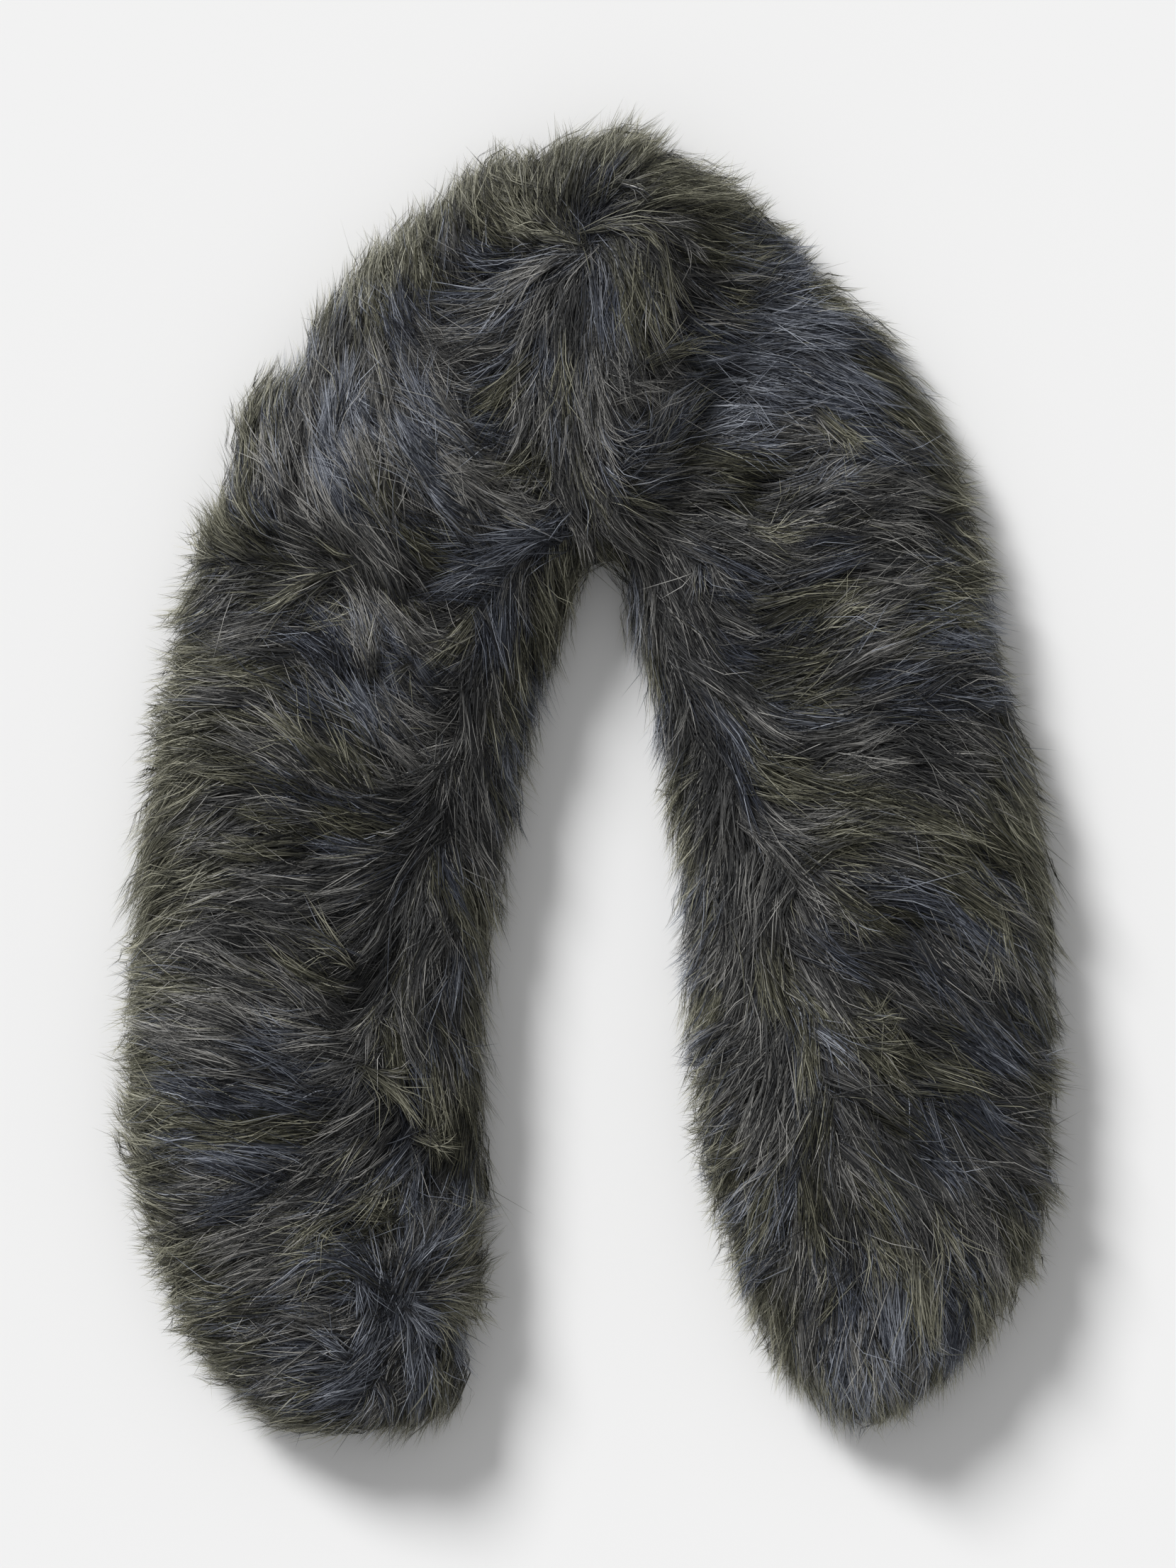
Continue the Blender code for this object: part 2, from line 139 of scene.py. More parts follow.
class Nap:
    """Which way the hair lies in plan, worked out between the combing marks."""

    REACH = 12.0    # how far a mark combs the hair round it
    CHUNK = 8000    # places worked out at a time

    def __init__(self) -> None:
        """Lay the combing marks out in the frame."""
        marks = [(x, y, turn) for y, row in NAP_ROWS.items() for x, turn in row]
        table = np.array(marks, float)
        self.places = (table[:, :2] + DRAWING_SHIFT) * MM
        turns = np.radians(table[:, 2])
        self.ways = np.stack([np.cos(turns), np.sin(turns)], axis=1)

    def comb(self, places: np.ndarray) -> np.ndarray:
        """Return the nap at places in plan.

        Args:
            places: Points whose first two columns are x and y in metres.

        Returns:
            A vector for each place, as long as the marks round it agree.
        """
        ways = []
        for start in range(0, len(places), self.CHUNK):
            some = places[start:start + self.CHUNK, None, :2]
            far = ((some - self.places) ** 2).sum(axis=2) / (self.REACH * MM) ** 2
            pull = np.exp(-0.5 * (far - far.min(axis=1, keepdims=True)))
            ways.append(pull @ self.ways / pull.sum(axis=1, keepdims=True))
        return np.concatenate(ways)

    def angle(self, places: np.ndarray) -> np.ndarray:
        """Return the nap's angle in radians at places in plan."""
        way = self.comb(places)
        return np.arctan2(way[:, 1], way[:, 0])

    def unrest(self, places: np.ndarray) -> np.ndarray:
        """Return how far the marks round each place disagree, from 0 to 1."""
        return 1.0 - np.clip(np.linalg.norm(self.comb(places), axis=1), 0.0, 1.0)


# ---------------------------------------------------------------- hollows and tints


@dataclass(frozen=True)
class Spot:
    """A round patch of the drawing. Its sizes are in millimetres."""

    x: float
    y: float
    radius: float

    def bump(self, places: np.ndarray) -> np.ndarray:
        """Return a soft bump, one at the spot's middle, for places in metres."""
        middle = (np.array([self.x, self.y]) + DRAWING_SHIFT) * MM
        far = ((places[:, :2] - middle) ** 2).sum(axis=1)
        return np.exp(-far / (self.radius * MM) ** 2)


@dataclass(frozen=True)
class Hollow(Spot):
    """A place where the pile sinks between locks, and its hair is painted darker there as painted
    shade.
    """

    depth: float

    DARK = 0.05     # painted shade: how much darker its hair is painted for each millimetre of depth
    SHORT = 0.15    # how much shorter its hair is


@dataclass(frozen=True)
class Tint(Spot):
    """A patch whose hair leans to a lighter or darker tone, to olive or to slate blue. Its lightness is
    partly the pile's own mottling, partly painted shade that darkens hollows, pockets and lit sides,
    and partly painted light on shaded sides.
    """

    light: float
    olive: float
    slate: float


class Family(Enum):
    """The dye lots that the mottled pile is mixed from, by their place in the map."""

    GREY = 0
    OLIVE = 1
    SLATE = 2


@dataclass(frozen=True)
class Trim(Spot):
    """A stretch of rim whose pile is clipped shorter, or longer where depth is negative."""

    depth: float


@dataclass(frozen=True)
class SetLock:
    """A lock that lies on top of the pile, where the comb or the fold has set it."""

    line: tuple[tuple[int, int], ...]    # its middle from root to tip, in the drawing
    width: float
    tone: float
    family: Family


HOLLOWS = (
    Hollow(-75, 214, 12, 3.0),
    Hollow(49, 214, 12, 3.5),
    Hollow(50, 182, 10, 2.0),
    Hollow(76, 130, 12, 3.5),
    Hollow(116, 100, 10, 3.0),
    Hollow(-150, 102, 16, 3.0),
    Hollow(-60, 42, 13, 3.0),
    Hollow(-72, -20, 12, 2.5),
    Hollow(-102, -92, 12, 3.5),
    Hollow(-122, -136, 11, 2.5),
    Hollow(-90, -150, 12, 3.0),
    Hollow(-64, -184, 10, 2.5),
    Hollow(-135, -225, 12, 2.5),
    Hollow(60, 60, 14, 2.0),
    Hollow(160, 42, 10, 3.0),
    Hollow(145, 18, 9, 2.0),
    Hollow(142, -66, 14, 2.5),
    Hollow(155, -110, 12, 3.0),
    Hollow(114, -220, 12, 2.0),
    Hollow(9, 262, 13, 4.0),
)

TRIMS = (
    Trim(212, -90, 38, 8.5),
    Trim(211, -155, 24, 5.5),
    Trim(192, 55, 26, 4.0),
    Trim(196, -228, 26, 4.5),
    Trim(166, -272, 24, 4.0),
    Trim(130, -292, 34, 9.0),
    Trim(-106, -294, 19, 16.0),
    Trim(-56, -264, 12, 4.0),
    Trim(-150, -285, 24, 3.0),
    Trim(-66, -280, 13, -3.0),
    Trim(-85, -300, 8, -4.0),
    Trim(-45, -165, 28, 7.0),
    Trim(-47, -210, 28, 3.5),
    Trim(-56, -250, 16, 3.0),
    Trim(-36, -36, 30, 3.0),
    Trim(-20, 20, 26, 3.0),
    Trim(6, 92, 12, 9.0),
    Trim(32, 20, 26, -3.0),
    Trim(42, -20, 20, -3.0),
    Trim(44, -110, 30, -3.0),
    Trim(54, -172, 26, -4.0),
    Trim(84, -256, 24, -4.0),
    Trim(4, 300, 18, 6.5),
    Trim(38, 288, 16, 6.0),
    Trim(66, 272, 14, 3.5),
    Trim(118, 212, 13, -3.0),
    Trim(160, 160, 14, -3.0),
    Trim(-180, 92, 13, 3.5),
    Trim(-206, -108, 34, 4.0),
    Trim(-56, 277, 14, 3.0),
    Trim(-168, 140, 17, 8.0),
    Trim(-138, 201, 9, 9.0),
    Trim(-152, 187, 8, -5.0),
    Trim(-169, 171, 7, -5.0),
    Trim(-164, 126, 8, 5.0),
    Trim(14, 74, 14, -5.0),
    Trim(-8, 92, 9, 5.0),
    Trim(-196, 34, 18, -3.0),
    Trim(-211, -150, 26, -4.0),
    Trim(-176, -256, 18, -2.0),
)


SET_LOCKS = (
    # the crown of the fold and the arcs across its dark back
    SetLock(((-13, 243), (-3, 249), (10, 251), (24, 249), (32, 242), (35, 230)), 4, 0.55, Family.OLIVE),
    SetLock(((6, 267), (15, 270), (23, 266), (29, 259)), 2, 0.42, Family.GREY),
    SetLock(((-21, 240), (-30, 246), (-40, 253)), 3, 0.54, Family.OLIVE),
    SetLock(((-20, 250), (-26, 256), (-32, 264)), 3, 0.56, Family.OLIVE),
    SetLock(((-8, 240), (-22, 233), (-33, 223), (-40, 212)), 5, 0.52, Family.GREY),
    SetLock(((26, 246), (33, 234), (35, 218), (37, 204), (39, 191)), 5, 0.62, Family.OLIVE),
    SetLock(((20, 232), (26, 216), (29, 202), (29, 189)), 4, 0.58, Family.OLIVE),
    SetLock(((38, 246), (46, 240), (53, 231)), 2, 0.60, Family.GREY),
    # the fold's long strands
    SetLock(((-12, 212), (-12, 196), (-12, 180), (-9, 164), (-7, 150)), 7, 0.52, Family.OLIVE),
    SetLock(((-10, 168), (-8, 152), (-4, 139), (2, 129), (8, 120), (10, 107)), 6, 0.66, Family.OLIVE),
    SetLock(((0, 205), (1, 190), (5, 176), (11, 162)), 6, 0.60, Family.GREY),
    SetLock(((-1, 174), (3, 160), (9, 149), (17, 140)), 7, 0.66, Family.GREY),
    SetLock(((-1, 152), (5, 141), (12, 133), (20, 126)), 5, 0.56, Family.SLATE),
    SetLock(((-18, 190), (-17, 172), (-14, 156), (-12, 142)), 5, 0.50, Family.SLATE),
    SetLock(((-30, 205), (-34, 190), (-37, 176), (-36, 162)), 6, 0.50, Family.GREY),
    SetLock(((19, 187), (31, 192), (45, 199), (60, 203)), 6, 0.60, Family.OLIVE),
    SetLock(((25, 142), (30, 156), (34, 170), (41, 184)), 7, 0.54, Family.SLATE),
    # the shoulder's pale strands
    SetLock(((-116, 148), (-112, 166), (-110, 184), (-108, 202)), 8, 0.52, Family.SLATE),
    SetLock(((-136, 122), (-142, 140), (-146, 156), (-150, 168)), 8, 0.56, Family.GREY),
    SetLock(((-96, 116), (-104, 134), (-110, 150), (-122, 164)), 9, 0.56, Family.SLATE),
    SetLock(((-84, 108), (-94, 126), (-99, 142), (-102, 158)), 9, 0.58, Family.OLIVE),
    SetLock(((-62, 150), (-74, 168), (-84, 186), (-88, 204)), 9, 0.52, Family.SLATE),
    SetLock(((-66, 120), (-76, 138), (-88, 154), (-96, 172)), 9, 0.52, Family.GREY),
    SetLock(((-42, 148), (-56, 158), (-68, 172), (-76, 188)), 7, 0.52, Family.GREY),
    # the left arm, from the top down
    SetLock(((-108, 98), (-128, 90), (-146, 79), (-163, 72)), 7, 0.54, Family.OLIVE),
    SetLock(((-134, 70), (-122, 71), (-104, 78)), 4, 0.66, Family.OLIVE),
    SetLock(((-94, 42), (-100, 58), (-104, 74), (-108, 88)), 9, 0.54, Family.GREY),
    SetLock(((-90, 8), (-98, 26), (-110, 42), (-122, 56)), 9, 0.54, Family.SLATE),
    SetLock(((-78, 58), (-86, 52), (-94, 44)), 5, 0.54, Family.OLIVE),
    SetLock(((-118, 6), (-130, 20), (-142, 30), (-158, 40)), 9, 0.55, Family.OLIVE),
    SetLock(((-102, -84), (-110, -74), (-124, -66), (-138, -62)), 8, 0.52, Family.OLIVE),
    SetLock(((-112, -118), (-103, -122), (-94, -129), (-85, -137), (-79, -147), (-74, -157)), 5, 0.72,
            Family.OLIVE),
    SetLock(((-98, -126), (-87, -128), (-76, -125)), 3, 0.60, Family.OLIVE),
    SetLock(((-84, -154), (-71, -160), (-56, -157)), 5, 0.58, Family.OLIVE),
    SetLock(((-76, -150), (-70, -161), (-61, -170)), 5, 0.58, Family.OLIVE),
    SetLock(((-63, -60), (-61, -78), (-63, -96), (-61, -114)), 5, 0.52, Family.SLATE),
    SetLock(((-62, -104), (-59, -120), (-52, -138)), 5, 0.52, Family.SLATE),
    SetLock(((-96, -150), (-107, -160), (-121, -173)), 5, 0.56, Family.GREY),
    SetLock(((-93, -94), (-98, -103), (-97, -112)), 4, 0.52, Family.OLIVE),
    # the left end's whorls
    SetLock(((-84, -220), (-77, -211), (-70, -202), (-62, -193)), 9, 0.50, Family.SLATE),
    SetLock(((-90, -219), (-92, -209), (-95, -197)), 8, 0.44, Family.GREY),
    SetLock(((-84, -231), (-77, -240), (-66, -251)), 6, 0.50, Family.SLATE),
    SetLock(((-80, -226), (-68, -224), (-58, -221), (-46, -218)), 8, 0.54, Family.GREY),
    SetLock(((-104, -212), (-103, -226), (-105, -240)), 6, 0.54, Family.SLATE),
    SetLock(((-104, -214), (-118, -209), (-131, -211), (-143, -220)), 8, 0.58, Family.OLIVE),
    SetLock(((-98, -190), (-113, -189), (-127, -195), (-142, -212)), 8, 0.54, Family.OLIVE),
    SetLock(((-103, -256), (-115, -248), (-128, -238)), 8, 0.50, Family.SLATE),
    SetLock(((-116, -268), (-131, -267), (-148, -271)), 7, 0.60, Family.OLIVE),
    SetLock(((-72, -252), (-69, -268), (-71, -285)), 8, 0.60, Family.OLIVE),
    SetLock(((-97, -262), (-92, -274), (-91, -286)), 9, 0.52, Family.SLATE),
    # the right arm, from the top down
    SetLock(((94, 172), (104, 164), (115, 154), (126, 146)), 10, 0.58, Family.OLIVE),
    SetLock(((46, 158), (64, 154), (80, 152), (98, 152)), 10, 0.56, Family.SLATE),
    SetLock(((60, 176), (74, 172), (90, 168)), 10, 0.52, Family.SLATE),
    SetLock(((62, 122), (72, 114), (86, 110), (102, 113)), 8, 0.56, Family.OLIVE),
    SetLock(((86, 124), (90, 133), (95, 142)), 5, 0.60, Family.OLIVE),
    SetLock(((92, 124), (101, 132), (113, 138), (128, 139)), 8, 0.60, Family.SLATE),
    SetLock(((47, 105), (45, 94), (47, 80)), 6, 0.58, Family.GREY),
    SetLock(((52, 104), (57, 92), (63, 80)), 5, 0.54, Family.GREY),
    SetLock(((96, 68), (108, 78), (119, 86), (130, 90)), 9, 0.66, Family.OLIVE),
    SetLock(((104, 62), (118, 73), (132, 80), (148, 84)), 9, 0.58, Family.GREY),
    SetLock(((178, -44), (183, -60), (188, -76), (192, -90)), 5, 0.72, Family.OLIVE),
    SetLock(((176, -62), (181, -76), (185, -94)), 5, 0.58, Family.OLIVE),
    SetLock(((106, -50), (118, -60), (130, -72)), 8, 0.52, Family.OLIVE),
    SetLock(((112, -100), (128, -103), (145, -104)), 9, 0.56, Family.OLIVE),
    SetLock(((118, -113), (132, -116), (147, -113)), 7, 0.54, Family.OLIVE),
    SetLock(((94, -104), (105, -112), (116, -120), (126, -128)), 7, 0.56, Family.SLATE),
    SetLock(((104, -152), (109, -166), (117, -180), (122, -196)), 7, 0.60, Family.GREY),
    SetLock(((118, -190), (124, -204), (132, -216), (136, -228)), 9, 0.60, Family.OLIVE),
    SetLock(((150, -180), (156, -194), (163, -208), (169, -224)), 8, 0.60, Family.OLIVE),
    SetLock(((99, -188), (101, -203), (105, -218)), 6, 0.56, Family.OLIVE),
    SetLock(((122, -240), (128, -256), (134, -272), (138, -284)), 9, 0.62, Family.SLATE),
    SetLock(((148, -236), (150, -250), (153, -264)), 9, 0.50, Family.SLATE),
    SetLock(((140, -156), (152, -164), (164, -174), (174, -186)), 8, 0.54, Family.SLATE),
)

TINTS = (
    # light is partly the pile's own tone and partly painted shade and painted light
    #     x     y  radius light olive slate
    Tint(-24, 282, 28, -0.06, 0.9, -0.3),
    Tint(28, 288, 22, -0.10, 0.9, -0.3),
    Tint(10, 261, 17, -0.46, -0.3, 0.7),
    Tint(58, 246, 17, -0.24, 0.8, -0.2),
    Tint(52, 216, 13, -0.36, 0.3, 0.0),
    Tint(90, 246, 16, 0.10, 0.0, 0.4),
    Tint(76, 176, 22, 0.28, -0.2, 0.8),
    Tint(120, 178, 26, -0.02, -0.2, 0.5),
    Tint(16, 158, 11, -0.25, 0.0, 0.0),
    Tint(14, 128, 12, -0.18, 0.0, 0.0),
    Tint(-14, 215, 24, -0.12, -0.1, 0.2),
    Tint(-50, 228, 15, 0.16, 0.0, 0.3),
    Tint(-75, 226, 14, -0.30, 0.0, 0.2),
    Tint(-98, 168, 28, 0.24, -0.2, 0.25),
    Tint(-132, 138, 24, 0.18, -0.2, 0.25),
    Tint(-90, 138, 24, 0.14, -0.1, 0.2),
    Tint(-152, 98, 20, -0.26, 0.5, -0.2),
    Tint(-112, 50, 24, 0.18, 0.0, 0.3),
    Tint(-165, 30, 26, -0.10, 0.3, -0.1),
    Tint(-58, 40, 18, -0.16, 0.1, 0.0),
    Tint(-80, -20, 18, -0.24, 0.1, 0.0),
    Tint(-122, -16, 17, -0.24, 0.2, 0.0),
    Tint(-178, -88, 24, 0.20, 0.0, 0.0),
    Tint(-142, -98, 18, 0.16, -0.1, 0.4),
    Tint(-94, -94, 17, -0.28, 0.3, 0.0),
    Tint(-74, -66, 16, -0.04, 0.0, 0.2),
    Tint(-128, -140, 16, -0.24, 0.0, 0.5),
    Tint(-94, -150, 17, -0.34, -0.1, 0.5),
    Tint(-56, -160, 18, -0.20, 0.7, -0.2),
    Tint(-180, -150, 22, 0.12, 0.2, 0.0),
    Tint(-86, -228, 26, 0.16, -0.3, 0.8),
    Tint(-160, -228, 22, 0.14, 0.3, 0.0),
    Tint(-122, -262, 22, 0.16, -0.1, 0.6),
    Tint(76, 130, 13, -0.32, 0.8, -0.2),
    Tint(112, 100, 16, -0.20, 0.2, 0.0),
    Tint(164, 72, 18, 0.26, 0.0, 0.2),
    Tint(128, 78, 16, 0.12, 0.1, 0.1),
    Tint(160, 40, 14, -0.16, 0.0, 0.6),
    Tint(70, 72, 30, -0.02, 0.0, 0.1),
    Tint(98, -14, 16, 0.12, 0.0, 0.2),
    Tint(142, -64, 22, -0.28, 0.0, 0.5),
    Tint(186, -40, 24, -0.04, 0.5, 0.0),
    Tint(68, -95, 20, 0.10, 0.1, 0.0),
    Tint(154, -112, 13, -0.30, 0.0, 0.3),
    Tint(116, -176, 24, -0.04, 0.1, 0.0),
    Tint(114, -220, 16, -0.12, 0.0, 0.4),
    Tint(132, -262, 30, 0.26, 0.0, 0.2),
    Tint(165, -232, 24, 0.14, 0.1, 0.2),
    Tint(80, -200, 22, 0.06, 0.2, 0.1),
    Tint(-66, 112, 20, 0.14, 0.0, 0.0),
    Tint(-30, 110, 18, 0.06, 0.0, 0.2),
    Tint(-88, 26, 16, 0.16, 0.0, 0.0),
    Tint(-88, 72, 14, 0.14, 0.0, 0.0),
    Tint(-124, 72, 9, -0.16, 0.0, 0.3),
    Tint(-158, -140, 16, -0.20, 0.0, 0.5),
    Tint(-186, -140, 12, -0.10, 0.0, 0.2),
    Tint(-70, -258, 18, 0.26, 0.0, 0.5),
    Tint(-150, -238, 16, 0.12, 0.0, 0.1),
    Tint(-120, -192, 18, -0.04, 0.4, 0.0),
    Tint(-62, -192, 14, -0.10, 0.0, 0.2),
    Tint(94, 214, 20, 0.14, -0.1, 0.5),
    Tint(112, 158, 18, 0.08, 0.0, 0.1),
    Tint(60, 0, 16, -0.16, 0.0, 0.1),
    Tint(54, 60, 20, -0.08, 0.1, 0.0),
    Tint(104, 40, 14, 0.04, 0.1, 0.0),
    Tint(-188, 0, 20, -0.08, 0.6, -0.3),
    Tint(-192, -50, 22, -0.08, 0.5, -0.3),
    Tint(-168, -68, 9, -0.16, 0.0, 0.0),
    Tint(-76, -20, 12, -0.10, 0.0, 0.2),
    Tint(-44, 66, 14, 0.04, 0.0, 0.5),
    Tint(18, 188, 10, -0.18, 0.0, 0.0),
    Tint(-42, 20, 22, 0.10, 0.0, 0.2),
    Tint(-50, -70, 24, 0.08, 0.1, 0.1),
    Tint(-108, 152, 30, 0.12, -0.1, 0.1),
    Tint(-80, -215, 20, 0.14, -0.1, 0.4),
    Tint(-68, -262, 16, 0.14, -0.1, 0.4),
    Tint(134, -254, 30, 0.12, 0.0, 0.1),
    Tint(36, 150, 18, 0.12, 0.0, 0.1),
    Tint(66, 142, 14, 0.12, 0.0, 0.0),
    Tint(88, 60, 22, -0.14, 0.0, 0.0),
    Tint(110, 60, 26, -0.12, 0.1, 0.0),
    Tint(60, -60, 20, -0.08, 0.2, 0.0),
    Tint(0, 244, 15, -0.16, 0.0, 0.2),
    Tint(22, 232, 13, -0.14, 0.0, 0.1),
    Tint(12, 136, 9, -0.16, 0.0, 0.0),
    Tint(80, 10, 22, -0.08, 0.0, 0.0),
    Tint(150, -156, 32, -0.24, 0.0, 0.1),
    Tint(-50, 200, 18, 0.14, -0.2, 0.3),
    Tint(50, -12, 26, -0.14, 0.0, 0.0),
    Tint(-82, 156, 24, 0.06, -0.1, 0.1),
    Tint(-150, -84, 30, -0.10, 0.0, 0.0),
    Tint(-142, 94, 24, -0.08, 0.0, 0.0),
    Tint(-90, -234, 14, 0.10, -0.1, 0.3),
    Tint(-10, 186, 30, -0.04, -0.1, 0.1),
    Tint(-58, 142, 20, 0.16, -0.1, 0.1),
    Tint(-38, 120, 16, 0.10, 0.0, 0.2),
    Tint(5, 260, 20, -0.16, -0.2, 0.3),
    Tint(48, -60, 26, 0.0, -0.6, 0.1),
    Tint(54, -130, 26, 0.0, -0.6, 0.1),
    Tint(40, 0, 22, 0.0, -0.5, 0.1),
    Tint(32, 60, 18, 0.0, -0.4, 0.1),
    Tint(-96, -56, 20, -0.14, 0.1, 0.0),
    Tint(-68, -92, 18, -0.10, 0.0, 0.0),
    Tint(-44, -30, 22, 0.0, -0.5, 0.0),
    Tint(-48, -90, 22, 0.0, -0.4, 0.0),
)


def level_way(angle: np.ndarray) -> np.ndarray:
    """Return unit vectors that point at these angles in plan."""
    return np.stack([np.cos(angle), np.sin(angle), np.zeros(len(angle))], axis=1)


def rounded(line: np.ndarray, times: int = 3) -> np.ndarray:
    """Cut a line's corners until it bends smoothly.

    Args:
        line: Its points.
        times: How often to cut them.

    Returns:
        More points, from the same start to the same end.
    """
    for _ in range(times):
        early, late = 0.75 * line[:-1] + 0.25 * line[1:], 0.25 * line[:-1] + 0.75 * line[1:]
        cut = np.stack([early, late], axis=1).reshape(-1, line.shape[1])
        line = np.concatenate([line[:1], cut, line[-1:]])
    return line


# ------------------------------------------------------------------ the outer surface


class Skin:
    """The wrap's outer surface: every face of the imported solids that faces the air."""

    SAME = 0.01 * MM         # corners nearer than this are one corner
    WELD = 0.6 * MM          # closes the clearance between neighbouring solids
    PROBE = 0.2 * MM         # how far off a face its probes start
    LEAN = 0.9               # how far the slanted probes lean
    RESTING = -0.6           # a face whose normal dips further lies on the table
    HIGH = 0.2               # well above the wrap
    SLIVER = 1e-9            # a smaller face, in square metres, carries no hair
    SPECK = 1e-12            # a smaller one isn't probed
    STEEP_GAIN, STEEP_START = 1.5, 0.1    # how fast a leaning face counts as upright

    def __init__(self, solids: dict[str, bpy.types.Object]) -> None:
        """Gather the open faces of the solids into one welded surface.

        Args:
            solids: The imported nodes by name.
        """
        self.names = sorted(solids)
        self.shell = bmesh.new()
        self.tag = self.shell.faces.layers.int.new("node")
        for index, name in enumerate(self.names):
            self._add(solids[name], index)
        bmesh.ops.remove_doubles(self.shell, verts=self.shell.verts, dist=self.SAME)
        self._drop_inside_faces()
        bmesh.ops.remove_doubles(self.shell, verts=self.shell.verts, dist=self.WELD)
        self.shell.normal_update()
        self.shell.verts.index_update()
        self.points = np.array([v.co[:] for v in self.shell.verts])
        self.normals = np.array([v.normal[:] for v in self.shell.verts])
        faces = [f for f in self.shell.faces if len(f.verts) == 3 and f.calc_area() > self.SLIVER]
        self.faces = np.array([[v.index for v in f.verts] for f in faces])
        self.node_of = np.array([f[self.tag] for f in faces])
        corners = self.points[self.faces]
        cross = np.cross(corners[:, 1] - corners[:, 0], corners[:, 2] - corners[:, 0])
        self.areas = np.linalg.norm(cross, axis=1) / 2.0
        self.up = unit(cross)[:, 2]
        self.sides = []
        for rows in (np.flatnonzero(self.up > self.RESTING), np.flatnonzero(self.up <= self.RESTING)):
            tree = BVHTree.FromPolygons(self.points.tolist(), self.faces[rows].tolist())
            self.sides.append((rows, tree))

    def _add(self, solid: bpy.types.Object, index: int) -> None:
        """Copy one solid's faces in, marked with its number."""
        mesh = solid.data
        verts = [self.shell.verts.new(v.co) for v in mesh.vertices]
        for polygon in mesh.polygons:
            face = self.shell.faces.new([verts[i] for i in polygon.vertices])
            face[self.tag] = index

    def _drop_inside_faces(self) -> None:
        """Delete the faces whose probes all end on another face."""
        self.shell.normal_update()
        everything = BVHTree.FromBMesh(self.shell)
        inside = []
        for face in self.shell.faces:
            if face.calc_area() < self.SPECK:
                continue
            start = face.calc_center_median() + face.normal * self.PROBE
            side = face.normal.orthogonal().normalized()
            other = face.normal.cross(side)
            probes = [face.normal]
            for lean in (side, -side, other, -other):
                probes.append((face.normal + lean * self.LEAN).normalized())
            if all(everything.ray_cast(start, probe)[0] is not None for probe in probes):
                inside.append(face)
        bmesh.ops.delete(self.shell, geom=inside, context="FACES")

    def nearest(self, places: np.ndarray, low: np.ndarray) -> tuple[np.ndarray, np.ndarray]:
        """Find the nearest point of the upper surface, or of the resting faces.

        Args:
            places: Points in metres.
            low: Which of them belong to the resting faces.

        Returns:
            The nearest points, and the smooth outward normals there.
        """
        near, face = np.empty_like(places), np.empty(len(places), int)
        for (rows, tree), chosen in zip(self.sides, (~low, low)):
            found = [tree.find_nearest(place) for place in places[chosen].tolist()]
            near[chosen] = np.array([hit[0][:] for hit in found]).reshape(-1, 3)
            face[chosen] = rows[np.array([hit[2] for hit in found], int)]
        return near, self.smooth_normal(near, face)

    def below(self, plan: np.ndarray) -> tuple[np.ndarray, np.ndarray, np.ndarray]:
        """Find the upper surface straight below places in plan.

        Args:
            plan: Rows of x and y in metres.

        Returns:
            The surface's points, its smooth normals, and the numbers of its solids.
        """
        rows, tree = self.sides[0]
        down, near, face = Vector((0.0, 0.0, -1.0)), [], []
        for x, y in plan.tolist():
            start = Vector((x, y, self.HIGH))
            hit = tree.ray_cast(start, down)
            if hit[0] is None:
                hit = tree.find_nearest(Vector((x, y, 0.0)))
            near.append(hit[0][:])
            face.append(rows[hit[2]])
        near = np.array(near)
        return near, self.smooth_normal(near, np.array(face)), self.node_of[face]

    def smooth_normal(self, near: np.ndarray, face: np.ndarray) -> np.ndarray:
        """Blend the corner normals of each point's face.

        Args:
            near: Points on the surface.
            face: The face that each one lies on.

        Returns:
            Unit normals.
        """
        corners = self.points[self.faces[face]]
        shares = []
        for index in range(3):
            first = corners[:, (index + 1) % 3] - near
            second = corners[:, (index + 2) % 3] - near
            shares.append(np.linalg.norm(np.cross(first, second), axis=1))
        share = np.stack(shares, axis=1)
        share /= np.maximum(share.sum(axis=1, keepdims=True), 1e-15)
        return unit((self.normals[self.faces[face]] * share[:, :, None]).sum(axis=1))

    def scatter(
        self,
        rng: np.random.Generator,
        pitch: float,
        underside_share: float,
        rim_share: float = 1.0,
        level_share: float = 1.0,
    ) -> tuple[np.ndarray, np.ndarray, np.ndarray]:
        """Spread points evenly over the surface.

        Args:
            rng: The source of random numbers.
            pitch: The usual distance between points, in metres.
            underside_share: How dense they are on the resting face, against elsewhere.
            rim_share: How dense they are on upright faces.
            level_share: How dense they are on level faces.

        Returns:
            The points, their normals, and the faces that they lie on.
        """
        lean = 1.0 - np.abs(self.up)
        steep = np.clip(self.STEEP_GAIN * lean - self.STEEP_START, 0.0, 1.0)
        share = level_share + (rim_share - level_share) * steep
        weight = self.areas * np.where(self.up > self.RESTING, share, underside_share)
        count = int(weight.sum() / pitch**2)
        steps = (np.arange(count) + rng.random(count)) / count
        order = np.argsort(self.points[self.faces].mean(axis=1)[:, 1])
        face = order[np.searchsorted(np.cumsum(weight[order]) / weight.sum(), steps)]
        root, second = np.sqrt(rng.random(count)), rng.random(count)
        share = np.stack([1.0 - root, root * (1.0 - second), root * second], axis=1)
        places = (self.points[self.faces[face]] * share[:, :, None]).sum(axis=1)
        normals = unit((self.normals[self.faces[face]] * share[:, :, None]).sum(axis=1))
        return places, normals, face


# ---------------------------------------------------------------------------- locks


